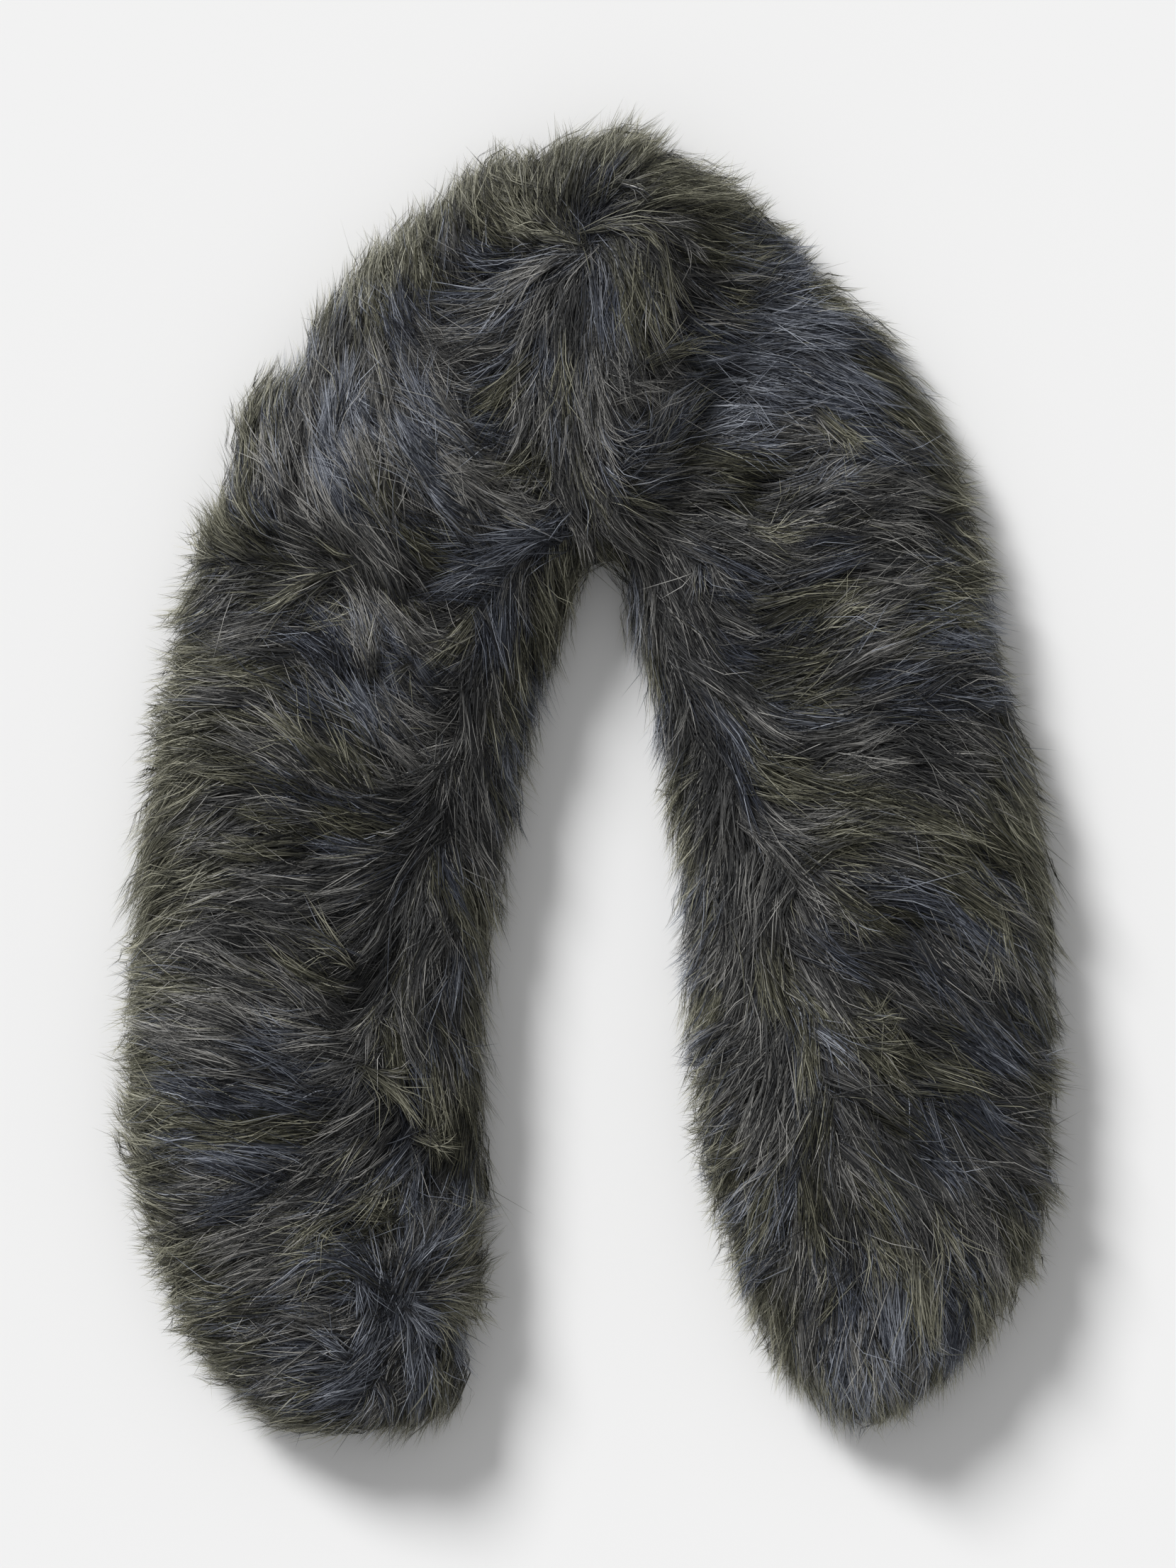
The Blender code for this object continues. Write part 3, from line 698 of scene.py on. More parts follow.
class Locks:
    """The locks that the wisps gather in, each with its own lie, length and tone."""

    PITCH = 17.0 * MM
    LONG = 1.9          # how much longer than wide a lock is
    UNDERSIDE = 0.2
    TURN = math.radians(7.0)
    CURL = math.radians(16.0)
    LENGTH = 0.10
    FLARE_POWER = 1.5   # above one, few locks stand up much
    CHUNK = 1000        # places worked out at a time
    GATHER = math.radians(11.0)    # how far its edge wisps bend to its middle line

    def __init__(self, skin: Skin, nap: Nap, rng: np.random.Generator) -> None:
        """Place the locks on the surface.

        Args:
            skin: The wrap's outer surface.
            nap: The combing map.
            rng: The source of random numbers.
        """
        self.places, _, _ = skin.scatter(rng, self.PITCH, self.UNDERSIDE)
        count = len(self.places)
        self.along = level_way(nap.angle(self.places))
        self.turn = rng.normal(0.0, self.TURN, count)
        self.curl = rng.normal(0.0, self.CURL, count)
        self.length = 1.0 + rng.normal(0.0, self.LENGTH, count)
        self.tone = rng.normal(0.0, 1.0, count)
        self.lift = rng.normal(0.0, 1.0, count)
        self.flare = rng.random(count) ** self.FLARE_POWER
        self.draw = rng.random(count)

    def find(self, places: np.ndarray) -> tuple[np.ndarray, np.ndarray, np.ndarray]:
        """Give each place to a lock.

        Args:
            places: Points in metres.

        Returns:
            Each place's lock, and how far along and across it the place lies, where one
            is the lock's own half width.
        """
        chosen, along, across = [], [], []
        for start in range(0, len(places), self.CHUNK):
            offset = places[start:start + self.CHUNK, None, :] - self.places
            run = (offset * self.along).sum(axis=2)
            rest = (offset**2).sum(axis=2) - run**2
            far = rest + (run / self.LONG) ** 2
            pick = far.argmin(axis=1)
            here = np.arange(len(pick))
            chosen.append(pick)
            along.append(run[here, pick] / (self.PITCH * self.LONG / 2.0))
            side = np.cross(self.along[pick], (0.0, 0.0, 1.0))
            across.append((offset[here, pick] * side).sum(axis=1) / (self.PITCH / 2.0))
        return np.concatenate(chosen), np.concatenate(along), np.concatenate(across)


# ----------------------------------------------------------------------------- hair


FAMILY_WIDTH = 1.0 / len(Family)
FAMILY_MARGIN = 0.012      # keeps a hair's width clear of the next dye lot
TONE_WIDTH = 0.008         # how wide a hair is on the map


@dataclass(frozen=True)
class Layer:
    """One kind of hair in the pile. Lengths are in millimetres."""

    name: str
    pitch: float            # between wisps
    underside: float        # density on the resting face, against elsewhere
    hairs: int              # in a wisp
    length: float
    root_depth: float
    tip_depth: float
    ragged: float           # how unevenly the tips reach
    root_spread: float
    tip_spread: float
    width: float
    tone: float
    stray: float            # share of hairs that have come loose
    proud: float            # how far tips usually stand out of the surface
    shares: tuple[float, ...]    # where its points lie from root to tip
    anchor: int             # the point that is scattered over the surface
    rim: float              # density on upright faces, against elsewhere
    level: float            # density on level faces
    rim_sink: float         # how far inside the surface most of it ends at a rim
    rim_rise: float         # how far its tips may stand out of that


UNDERFUR = Layer(
    name="underfur",
    pitch=7.5,
    underside=0.40,
    hairs=8,
    length=24.0,
    root_depth=4.0,
    tip_depth=4.0,
    ragged=1.0,
    root_spread=4.0,
    tip_spread=3.6,
    width=1.5,
    tone=0.20,
    stray=0.0,
    proud=0.0,
    shares=(0.0, 0.60, 1.0),
    anchor=1,
    rim=1.0,
    level=1.0,
    rim_sink=8.0,
    rim_rise=0.0,
)

GUARD_HAIR = Layer(
    name="guard_hair",
    pitch=2.55,
    underside=0.05,
    hairs=5,
    length=50.0,
    root_depth=8.0,
    tip_depth=0.0,
    ragged=1.2,
    root_spread=1.5,
    tip_spread=1.0,
    width=0.32,
    tone=0.33,
    stray=0.15,
    proud=0.4,
    shares=(0.0, 0.25, 0.62, 1.0),
    anchor=2,
    rim=0.75,
    level=1.0,
    rim_sink=10.5,
    rim_rise=9.0,
)

FRINGE = Layer(
    name="fringe",
    pitch=3.3,
    underside=0.0,
    hairs=4,
    length=34.0,
    root_depth=7.0,
    tip_depth=-2.5,
    ragged=2.2,
    root_spread=1.8,
    tip_spread=0.6,
    width=0.27,
    # paler than the guard hair: painted light, the glow of the thin hair at the rim
    tone=0.50,
    stray=0.12,
    proud=1.8,
    shares=(0.0, 0.25, 0.55, 1.0),
    anchor=2,
    rim=1.0,
    level=0.0,
    rim_sink=7.5,
    rim_rise=20.0,
)

LAID_HAIR = replace(
    GUARD_HAIR, name="laid_hair", hairs=4, length=38.0, ragged=2.0, tip_spread=1.8, stray=0.2
)


@dataclass
class Hair:
    """Grown hairs, one row for each."""

    paths: np.ndarray       # hair, point, xyz
    facing: np.ndarray      # hair, point, xyz
    width: np.ndarray       # full width at the thickest place
    tone: np.ndarray        # place across the map
    node: np.ndarray        # number of the solid that it grows on

    def pick(self, rows: np.ndarray) -> "Hair":
        """Return the hairs of these rows."""
        return Hair(*(getattr(self, field.name)[rows] for field in fields(self)))


@dataclass(frozen=True)
class Lie:
    """How each wisp of a layer lies, one row for each."""

    turn: np.ndarray        # how far it turns from the nap, in radians
    curl: np.ndarray        # how much more it has turned at its root
    flare: np.ndarray       # how much its lock stands up, from 0 to 1
    sunk: np.ndarray        # how far under the surface its anchor lies
    length: np.ndarray      # in metres


@dataclass
class Wisps:
    """The wisps of one layer, one row for each, from which its hairs are drawn out."""

    paths: np.ndarray       # wisp, point, xyz
    facing: np.ndarray      # wisp, point, xyz
    tone: np.ndarray
    draw: np.ndarray        # its lock's number from 0 to 1 that picks the dye lot
    node: np.ndarray        # number of the solid that it grows on
    unrest: np.ndarray      # how far the nap round it disagrees
    family: np.ndarray      # a set lock's dye lot, or -1 to pick one


class Dyer:
    """Gives each hair its dye lot and tone, as places across the hairs' map."""

    OLIVE, SLATE = 0.17, 0.12             # shares of the dye lots where no tint lies
    TINT_GAIN = 1.4
    # painted light: hair at the rims and low down is painted paler and more olive, a glow of light
    # through the thin hair
    RIM_DYE_GAIN, RIM_DYE_START = 1.9, 0.1
    DYE_HEIGHT = 16.0       # over this many millimetres the rim's painted glow fades upwards
    STEEP_DYE, LOW_DYE = 3.0, 1.75        # how many of those heights up it ends
    RIM_OLIVE, RIM_PALER = 1.1, 0.20

    def dye(
        self,
        places: np.ndarray,
        steep: np.ndarray,
        tone: np.ndarray,
        draw: np.ndarray,
        chosen: np.ndarray,
    ) -> np.ndarray:
        """Choose each hair's dye lot and tone, and paint in the patches' light and shade and the rim's
        glow.

        Args:
            places: Where the hairs show.
            steep: How steep the pile is there, from 0 to 1.
            tone: How light each hair is, from 0 to 1.
            draw: A number from 0 to 1 for each hair that picks its dye lot.
            chosen: The dye lot of each hair that has one already, and -1 for the others.

        Returns:
            The hairs' places across the map.
        """
        count = len(tone)
        olive = np.full(count, self.OLIVE)
        slate = np.full(count, self.SLATE)
        # a patch's light is partly the pile's mottled tone and partly painted light and shade
        for tint in TINTS:
            bump = tint.bump(places)
            tone = tone + bump * tint.light * (chosen < 0)
            olive += bump * tint.olive * self.TINT_GAIN
            slate += bump * tint.slate * self.TINT_GAIN
        height = places[:, 2] / MM
        # painted light: the rim's glow, paler and more olive, at steep places and low down
        near_rim = np.clip(self.RIM_DYE_GAIN * steep - self.RIM_DYE_START, 0.0, 1.0)
        near_rim = near_rim * np.clip(self.STEEP_DYE - height / self.DYE_HEIGHT, 0.0, 1.0)
        low = np.clip(self.LOW_DYE - height / self.DYE_HEIGHT, 0.0, 1.0)
        near_rim = np.maximum(near_rim, low)
        olive += self.RIM_OLIVE * near_rim
        tone = tone + self.RIM_PALER * near_rim
        draw = draw * np.maximum(1.0, olive + slate)
        family = np.full(count, float(Family.GREY.value))
        family[draw < olive + slate] = Family.SLATE.value
        family[draw < olive] = Family.OLIVE.value
        family = np.where(chosen < 0, family, chosen)
        tone = np.clip(tone, 0.0, 1.0)
        span = FAMILY_WIDTH - 2.0 * FAMILY_MARGIN - TONE_WIDTH
        return family * FAMILY_WIDTH + FAMILY_MARGIN + tone * span


class Coat:
    """Grows the pile on the wrap's surface."""

    FLOOR = 0.4 * MM        # no hair goes lower than this
    DIVE = 0.22             # the share of a hair that dives to its root
    FLARE = 0.08            # how steeply a flared lock rises
    RIM_FLARE = 0.65        # how much more at a rim
    FLARE_RISE = 1.2 * MM
    MOST_PROUD = 7.5 * MM   # no tip stands further out of the surface
    MOST_ASIDE = 3.0 * MM   # the furthest that a tip may pass a sharp edge
    LAP = 0.5 * MM          # how far a tip may sink below its anchor's depth
    SPLAY = 0.60            # how much hair at a rim stands out of it
    DROOP = 0.22            # how much it hangs there
    SHINGLE = 3.6 * MM      # a lock's back edge lies this far under the one behind it
    CREST = 2.9 * MM        # its sides lie this far under its middle line
    LOCK_LIFT = 1.2 * MM
    RIM_GAIN = 1.4          # how fast a leaning surface counts as a rim
    TRIMMED = 1.8           # likewise for a trim
    PART_BACK, PART_OUT = 0.35, 0.95      # a parted root's way: back, and out of the surface
    DIVE_POWER = 1.5
    REACH_LEAST, REACH_FLARE, REACH_POWER = 0.35, 0.65, 0.7    # how tips rise at a rim
    AGREE = 0.3             # hair bends on with the nap where the two agree more than this
    GATHERED = 1.2          # half widths from its middle where a lock stops to gather
    SHORTEST, LONGEST = 0.86, 1.10        # a wisp's length against its lock's
    UNREST_SHORT, UNREST_FLARE = 0.5, 0.6
    TIP_PALER, EDGE_DARKER = 0.06, 0.12   # painted light and shade: paler towards a lock's raised front, darker towards its sunk back and its sunk sides
    WISP_TURN = math.radians(7.5)
    WISP_CURL = math.radians(10.0)
    UNREST = 0.30           # where the nap disagrees more than this, it turns unruly
    UNREST_TURN = math.radians(45.0)
    FRIZZ = 0.8 * MM
    STRAY_SWING = 9.0 * MM
    STRAY_RISE = 2.0 * MM
    ROLL = math.radians(24.0)
    LOCK_TONE = 0.07
    WISP_TONE = 0.10
    HAIR_TONE = 0.27
    STRAND_SHARE = 0.32     # share of wisps that are paler than the rest
    STRAND = 0.20
    GLINT_SHARE = 0.16      # share of hairs that catch the light
    GLINT = 0.28
    CUT_LEAST, CUT_MOST = 0.74, 1.05      # where a hair ends on its wisp
    FLATTENED = 0.3         # a wisp's height against its width
    UNREST_STRAY = 4.0      # how many more hairs come loose where the nap is unruly
    STRAY_TONE = 0.10
    LOCK_DYED, WISP_DYED = 0.93, 0.98     # up to these, hair takes its lock's or wisp's dye
    THINNEST, THICKEST = 0.75, 1.25       # a hair's width against the layer's

    def __init__(self, skin: Skin, nap: Nap, locks: Locks, rng: np.random.Generator) -> None:
        """Keep what the hairs grow by."""
        self.skin = skin
        self.nap = nap
        self.locks = locks
        self.rng = rng
        self.dyer = Dyer()

    def direction(
        self, angle: np.ndarray, normal: np.ndarray, back: float, flare: np.ndarray
    ) -> np.ndarray:
        """Return which way hair points at places on the surface.

        Args:
            angle: The nap's angle in plan.
            normal: The surface's outward normals.
            back: How far back from the tip, as a share of the hair.
            flare: How much each one's lock stands up, from 0 to 1.

        Returns:
            Unit vectors towards the tip.
        """
        flow = level_way(angle)
        out = (flow * normal).sum(axis=1, keepdims=True)
        way = flow - normal * out
        steep = 1.0 - np.abs(normal[:, 2:])
        way += normal * (self.FLARE + self.RIM_FLARE * steep) * flare[:, None]
        way += normal * self.SPLAY * np.maximum(out, 0.0)
        way[:, 2] -= self.DROOP * (1.0 - np.abs(normal[:, 2])) * (1.0 - back)
        return unit(way)

    def trace(
        self, anchors: np.ndarray, normal: np.ndarray, lie: Lie, layer: Layer
    ) -> tuple[np.ndarray, np.ndarray]:
        """Follow each wisp from its anchor back to its root and on to its tip.

        Args:
            anchors: Where the wisps pass the surface.
            normal: The surface's normals there.
            lie: How the wisps lie.
            layer: The kind of hair.

        Returns:
            The wisps' points from root to tip, and which way each point faces.
        """
        knots = layer.shares
        points = {layer.anchor: anchors}
        faces = {layer.anchor: normal}
        angle = self.nap.angle(anchors) + lie.turn
        start = self.direction(angle, normal, 1.0 - knots[layer.anchor], lie.flare)
        place, facing, last = anchors, normal, start
        low = normal[:, 2] < self.skin.RESTING
        for index in range(layer.anchor - 1, -1, -1):
            back = 1.0 - (knots[index] + knots[index + 1]) / 2.0
            angle = self.nap.angle(place) + lie.turn + lie.curl * back
            way = self.direction(angle, facing, back, lie.flare)
            parted = (way * last).sum(axis=1) < 0.0
            way[parted] = unit(self.PART_BACK * last[parted] + self.PART_OUT * facing[parted])
            place = place - way * ((knots[index + 1] - knots[index]) * lie.length)[:, None]
            near, normal = self.skin.nearest(place, low)
            dive = max(self.DIVE - knots[index], 0.0) / self.DIVE
            deepest = layer.root_depth * MM - lie.sunk * 0.5
            wanted = lie.sunk + deepest * dive**self.DIVE_POWER
            place = near - normal * wanted[:, None]
            facing = self.keep_side(facing, normal)
            points[index], faces[index], last = place, facing, way
        self.comb_forward(points, faces, start, lie, layer)
        order = range(len(knots))
        paths = np.stack([points[index] for index in order], axis=1)
        paths[:, :, 2] = np.maximum(paths[:, :, 2], self.FLOOR)
        return paths, np.stack([faces[index] for index in order], axis=1)

    def comb_forward(
        self,
        points: dict[int, np.ndarray],
        faces: dict[int, np.ndarray],
        start: np.ndarray,
        lie: Lie,
        layer: Layer,
    ) -> None:
        """Add the wisps' points from the anchor to the tip, which lap over what follows.

        Args:
            points: The wisps' points by their number, added to.
            faces: Which way they face, likewise.
            start: Which way the wisps point at their anchors.
            lie: How the wisps lie.
            layer: The kind of hair.
        """
        knots = layer.shares
        place, facing, last = points[layer.anchor], faces[layer.anchor], start
        normal, low = facing, facing[:, 2] < self.skin.RESTING
        steep = np.minimum(self.RIM_GAIN * (1.0 - np.abs(normal[:, 2])), 1.0)
        reach = self.REACH_LEAST + self.REACH_FLARE * lie.flare
        reach = reach * self.rng.random(len(place)) ** self.REACH_POWER
        rise = self.rng.exponential(1.0, len(place)) * layer.proud * MM
        if layer.proud > 0.0:
            rise += self.FLARE_RISE * lie.flare + layer.rim_rise * MM * steep * reach
        highest = np.maximum(lie.sunk - rise, -self.MOST_PROUD)
        for index in range(layer.anchor + 1, len(knots)):
            back = 1.0 - knots[index]
            bend = lie.turn - lie.curl * (knots[index] - knots[layer.anchor])
            here = self.direction(self.nap.angle(place) + bend, facing, back, lie.flare)
            agree = (here * last).sum(axis=1, keepdims=True) > self.AGREE
            way = unit(np.where(agree, 0.5 * here + 0.5 * last, last))
            place = place + way * ((knots[index] - knots[index - 1]) * lie.length)[:, None]
            near, normal = self.skin.nearest(place, low)
            depth = ((near - place) * normal).sum(axis=1)
            held = np.clip(depth, highest, lie.sunk + self.LAP)
            aside = place - near + normal * depth[:, None]
            far = np.linalg.norm(aside, axis=1, keepdims=True)
            aside *= np.minimum(1.0, self.MOST_ASIDE / np.maximum(far, 1e-9))
            place = near + aside - normal * held[:, None]
            facing = self.keep_side(facing, normal)
            points[index], faces[index], last = place, facing, way

    @staticmethod
    def keep_side(facing: np.ndarray, normal: np.ndarray) -> np.ndarray:
        """Turn a wisp's facing to the new normal, unless that would flip it over."""
        same = (normal * facing).sum(axis=1, keepdims=True) > 0.2
        return np.where(same, normal, facing)

    def hollow_out(
        self, places: np.ndarray, steep: np.ndarray, sink: np.ndarray
    ) -> tuple[np.ndarray, np.ndarray]:
        """Sink the pile at the trims and the hollows, and work out the hollows' painted shade.

        Args:
            places: Where the wisps pass the surface.
            steep: How steep it is there, from 0 to 1.
            sink: How far under it they lie, added to.

        Returns:
            How much painted shade the hollows put on each wisp, and its share of its full length.
        """
        dark, short = np.zeros(len(places)), np.ones(len(places))
        for trim in TRIMS:
            sink += trim.bump(places) * trim.depth * MM * np.minimum(steep * self.TRIMMED, 1.0)
        for hollow in HOLLOWS:
            bump = hollow.bump(places)
            sink += bump * hollow.depth * MM
            # painted shade: the deeper the hollow, the darker its hair
            dark += bump * hollow.depth * hollow.DARK
            short *= 1.0 - hollow.SHORT * bump
        return dark, short

    def wisps(self, layer: Layer) -> Wisps:
        """Set out a layer's wisps.

        Args:
            layer: The kind of hair.

        Returns:
            The wisps.
        """
        rng, locks = self.rng, self.locks
        places, normals, face = self.skin.scatter(
            rng, layer.pitch * MM, layer.underside, layer.rim, layer.level
        )
        count = len(places)
        lock, along, across = locks.find(places)
        unrest = np.clip((self.nap.unrest(places) - self.UNREST) / (1.0 - self.UNREST), 0.0, 1.0)
        sink = self.SHINGLE * np.clip(0.5 - 0.5 * along, 0.0, 1.0)
        sink += self.CREST * np.minimum(across**2, 1.0)
        sink += layer.tip_depth * MM
        sink += np.abs(rng.normal(0.0, layer.ragged * MM, count)) - layer.ragged * MM
        sink -= self.LOCK_LIFT * locks.lift[lock]
        steep = 1.0 - np.abs(normals[:, 2])
        at_rim = np.minimum(steep * self.RIM_GAIN, 1.0) * (1.0 - rng.random(count) ** 3)
        sink += layer.rim_sink * MM * at_rim
        dark, short = self.hollow_out(places, steep, sink)
        places = places - normals * sink[:, None]
        turn = locks.turn[lock] + rng.normal(0.0, self.WISP_TURN, count)
        turn += locks.GATHER * np.clip(across, -self.GATHERED, self.GATHERED)
        turn += rng.normal(0.0, self.UNREST_TURN, count) * unrest
        curl = locks.curl[lock] + rng.normal(0.0, self.WISP_CURL, count)
        length = layer.length * MM * locks.length[lock]
        length = length * rng.uniform(self.SHORTEST, self.LONGEST, count)
        length *= short * (1.0 - self.UNREST_SHORT * unrest)
        flare = np.minimum(locks.flare[lock] + self.UNREST_FLARE * unrest, 1.0)
        lie = Lie(turn, curl, flare, sink, length)
        paths, facing = self.trace(places, normals, lie, layer)
        # dark is the hollows' painted shade, darker where the pile sinks
        tone = layer.tone - dark + self.LOCK_TONE * locks.tone[lock]
        tone += rng.normal(0.0, self.WISP_TONE, count)
        # painted light and shade: a lock's raised front is painted paler, its sunk back and sides
        # darker
        edge = self.EDGE_DARKER * np.minimum(across**2, 1.0)
        tone += self.TIP_PALER * np.clip(along, -1.0, 1.0) - edge
        tone += self.STRAND * ((rng.random(count) < self.STRAND_SHARE) - self.STRAND_SHARE)
        node = self.skin.node_of[face]
        return Wisps(paths, facing, tone, locks.draw[lock], node, unrest, np.full(count, -1))

    def grow(self, layer: Layer, wisps: Wisps) -> Hair:
        """Draw the hairs of one layer out of its wisps.

        Args:
            layer: The kind of hair.
            wisps: Its wisps.

        Returns:
            Its hairs.
        """
        rng = self.rng
        wisp = np.repeat(np.arange(len(wisps.tone)), layer.hairs)
        count = len(wisp)
        knots = np.array(layer.shares)
        wanted = knots[None, :] * rng.uniform(self.CUT_LEAST, self.CUT_MOST, count)[:, None]
        low = np.clip(np.searchsorted(knots, wanted, side="right") - 1, 0, len(knots) - 2)
        part = ((wanted - knots[low]) / (knots[low + 1] - knots[low]))[:, :, None]
        rows = wisp[:, None]
        paths = wisps.paths[rows, low] * (1.0 - part) + wisps.paths[rows, low + 1] * part
        facing = wisps.facing[rows, low] * (1.0 - part) + wisps.facing[rows, low + 1] * part
        facing = unit(facing)
        side = unit(np.cross(unit(np.gradient(paths, axis=1)), facing))
        radius, around = np.sqrt(rng.random(count)), rng.uniform(0.0, 2.0 * math.pi, count)
        wider = layer.tip_spread - layer.root_spread
        spread = (layer.root_spread + wider * knots**1.5) * MM
        aside = (radius * np.cos(around))[:, None] * spread
        above = (radius * np.sin(around))[:, None] * spread * self.FLATTENED
        often = layer.stray * (1.0 + self.UNREST_STRAY * wisps.unrest[wisp])
        loose = rng.random(count) < often
        swing = np.where(loose, rng.normal(0.0, self.STRAY_SWING, count), 0.0)
        rise = np.where(loose, rng.uniform(0.0, self.STRAY_RISE, count), 0.0)
        aside = aside + swing[:, None] * knots**2
        above = above + rise[:, None] * knots**2
        paths = paths + side * aside[:, :, None] + facing * above[:, :, None]
        paths += rng.normal(0.0, self.FRIZZ, paths.shape) * knots[None, :, None]
        paths[:, :, 2] = np.maximum(paths[:, :, 2], self.FLOOR)
        roll = rng.normal(0.0, self.ROLL, count)[:, None, None]
        facing = facing * np.cos(roll) + side * np.sin(roll)
        tone = wisps.tone[wisp] + rng.normal(0.0, self.HAIR_TONE, count)
        tone = tone + self.STRAY_TONE * loose
        tone += self.GLINT * (rng.random(count) < self.GLINT_SHARE)
        pick = rng.random(count)
        wisp_draw = rng.random(len(wisps.tone))[wisp]
        draw = np.where(pick < self.WISP_DYED, wisp_draw, rng.random(count))
        draw = np.where(pick < self.LOCK_DYED, wisps.draw[wisp], draw)
        shown = paths[:, -2:].mean(axis=1)
        steep = 1.0 - np.abs(wisps.facing[wisp, -2:, 2]).mean(axis=1)
        return Hair(
            paths=paths,
            facing=facing,
            width=layer.width * MM * rng.uniform(self.THINNEST, self.THICKEST, count),
            tone=self.dyer.dye(shown, steep, tone, draw, wisps.family[wisp]),
            node=wisps.node[wisp],
        )


class SetWisps:
    """Lays the set locks on top of the pile."""

    AREA = 16.0 * MM * MM               # of a set lock for each wisp
    SINK = -0.6 * MM
    CREST = 1.6 * MM
    SWING = 0.10                        # how much its wisps swing, for their length
    FEWEST = 8
    SHORTEST = 0.45                     # the least of its lock's length that a wisp takes
    ACROSS = 0.5
    EVEN = 1.2                          # above one, more wisps start in the middle of the lock
    BOW = 0.06                          # how far the edge wisps hang back
    SLIM, SWELL, TAPER = 0.28, 0.32, 0.8    # its width from root to tip
    # the second is painted shade on a set lock's sunk edges
    DARK, EDGE_DARKER = 0.05, 0.10
    DYED = 0.6                          # share of its wisps in its own dye lot
    DIVE = 4.0 * MM
    UNREST = 0.3

    def __init__(self, skin: Skin, rng: np.random.Generator) -> None:
        """Keep the surface and the source of random numbers."""
        self.skin = skin
        self.rng = rng

    def wisps(self, layer: Layer) -> Wisps:
        """Set out the wisps of all the set locks.

        Args:
            layer: The kind of hair.

        Returns:
            The wisps.
        """
        rng, rows = self.rng, []
        for lock in SET_LOCKS:
            line = rounded(np.array(lock.line, float) + DRAWING_SHIFT) * MM
            run = np.concatenate([[0.0], np.cumsum(np.linalg.norm(np.diff(line, axis=0), axis=1))])
            count = max(self.FEWEST, int(lock.width * MM * run[-1] / self.AREA))
            length = run[-1] * rng.uniform(self.SHORTEST, 1.0, count)
            length = np.minimum(layer.length * MM, length)
            across = rng.normal(0.0, self.ACROSS, count)
            first = rng.beta(self.EVEN, self.EVEN, count) * (run[-1] - length)
            along = first[:, None] + length[:, None] * np.array(layer.shares)
            along += (across**2 * -self.BOW * run[-1])[:, None]
            behind, middle, ahead = (
                np.stack([np.interp(along + step, run, line[:, axis]) for axis in (0, 1)], axis=2)
                for step in (-MM, 0.0, MM)
            )
            way = unit(ahead - behind)
            side = np.stack([way[..., 1], -way[..., 0]], axis=2)
            share = np.clip(along / run[-1], 0.0, 1.0)
            swell = self.SWELL * np.sin(math.pi * share**self.TAPER)
            half = lock.width * MM * (self.SLIM + swell)
            swing = rng.normal(0.0, self.SWING, count)[:, None] * (along - along[:, 2:3])
            plan = middle + side * (half * across[:, None] + swing)[:, :, None]
            tone = lock.tone - self.DARK + rng.normal(0.0, Coat.WISP_TONE, count)
            # painted shade, darker towards the set lock's sunk edges
            tone = tone - self.EDGE_DARKER * across**2
            family = np.where(rng.random(count) < self.DYED, lock.family.value, -1)
            rows.append((plan, tone, across, family))
        plan, tone, across, family = (np.concatenate(part) for part in zip(*rows))
        count, knots = plan.shape[:2]
        near, normal, node = self.skin.below(plan.reshape(-1, 2))
        dive = np.maximum(Coat.DIVE - np.array(layer.shares), 0.0) / Coat.DIVE
        sunk = self.SINK + self.CREST * across[:, None] ** 2 + self.DIVE * dive
        paths = (near - normal * sunk.reshape(-1, 1)).reshape(count, knots, 3)
        facing = normal.reshape(count, knots, 3)
        node = node.reshape(count, knots)[:, -1]
        draw, unrest = rng.random(count), np.full(count, self.UNREST)
        return Wisps(paths, facing, tone, draw, node, unrest, family)


def hair_mesh(name: str, hair: Hair) -> bpy.types.Mesh:
    """Join hairs into one mesh of thin ribbons that come to a point at both ends.

    Args:
        name: The mesh's name.
        hair: The hairs.

    Returns:
        A mesh with its map from root to tip.
    """
    count, points = hair.paths.shape[:2]
    tangent = unit(np.gradient(hair.paths, axis=1))
    side = unit(np.cross(tangent, hair.facing)) * (hair.width / 2.0)[:, None, None]
    at = np.repeat(np.arange(points), 2)[1:-1]      # the knot that each corner belongs to
    sign = np.where(np.arange(len(at)) % 2 == 0, 1.0, -1.0)
    sign[0] = sign[-1] = 0.0
    verts = (hair.paths[:, at] + side[:, at] * sign[None, :, None]).reshape(-1, 3)
    verts[:, 2] = np.maximum(verts[:, 2], Coat.FLOOR)
    strip = np.stack([np.arange(len(at) - 2) + k for k in range(3)], axis=1)
    strip[1::2] = strip[1::2][:, [1, 0, 2]]
    corners = (np.arange(count)[:, None] * len(at) + strip.ravel()).ravel()
    faces = len(corners) // 3
    mesh = bpy.data.meshes.new(name)
    mesh.vertices.add(len(verts))
    mesh.vertices.foreach_set("co", verts.astype(np.float32).ravel())
    mesh.loops.add(len(corners))
    mesh.loops.foreach_set("vertex_index", corners.astype(np.int32))
    mesh.polygons.add(faces)
    mesh.polygons.foreach_set("loop_start", np.arange(faces, dtype=np.int32) * 3)
    mesh.update(calc_edges=True)
    across = TONE_WIDTH * (0.5 + 0.5 * sign)
    upwards = np.broadcast_to(at / (points - 1.0), (count, len(at)))
    spots = np.stack([hair.tone[:, None] + across, upwards], axis=2).reshape(-1, 2)
    layer = mesh.uv_layers.new(name=MAP_NAME)
    layer.data.foreach_set("uv", spots[corners].astype(np.float32).ravel())
    mesh.shade_smooth()
    return mesh


# ------------------------------------------------------------------------ materials


def linear(code: str) -> tuple[float, float, float, float]:
    """Turn an sRGB hex colour to linear.

    Args:
        code: Six hex digits after a hash.

    Returns:
        Linear red, green, blue and one.
    """
    values = [int(code[i:i + 2], 16) / 255.0 for i in (1, 3, 5)]
    red, green, blue = (
        v / 12.92 if v <= 0.04045 else ((v + 0.055) / 1.055) ** 2.4 for v in values
    )
    return red, green, blue, 1.0


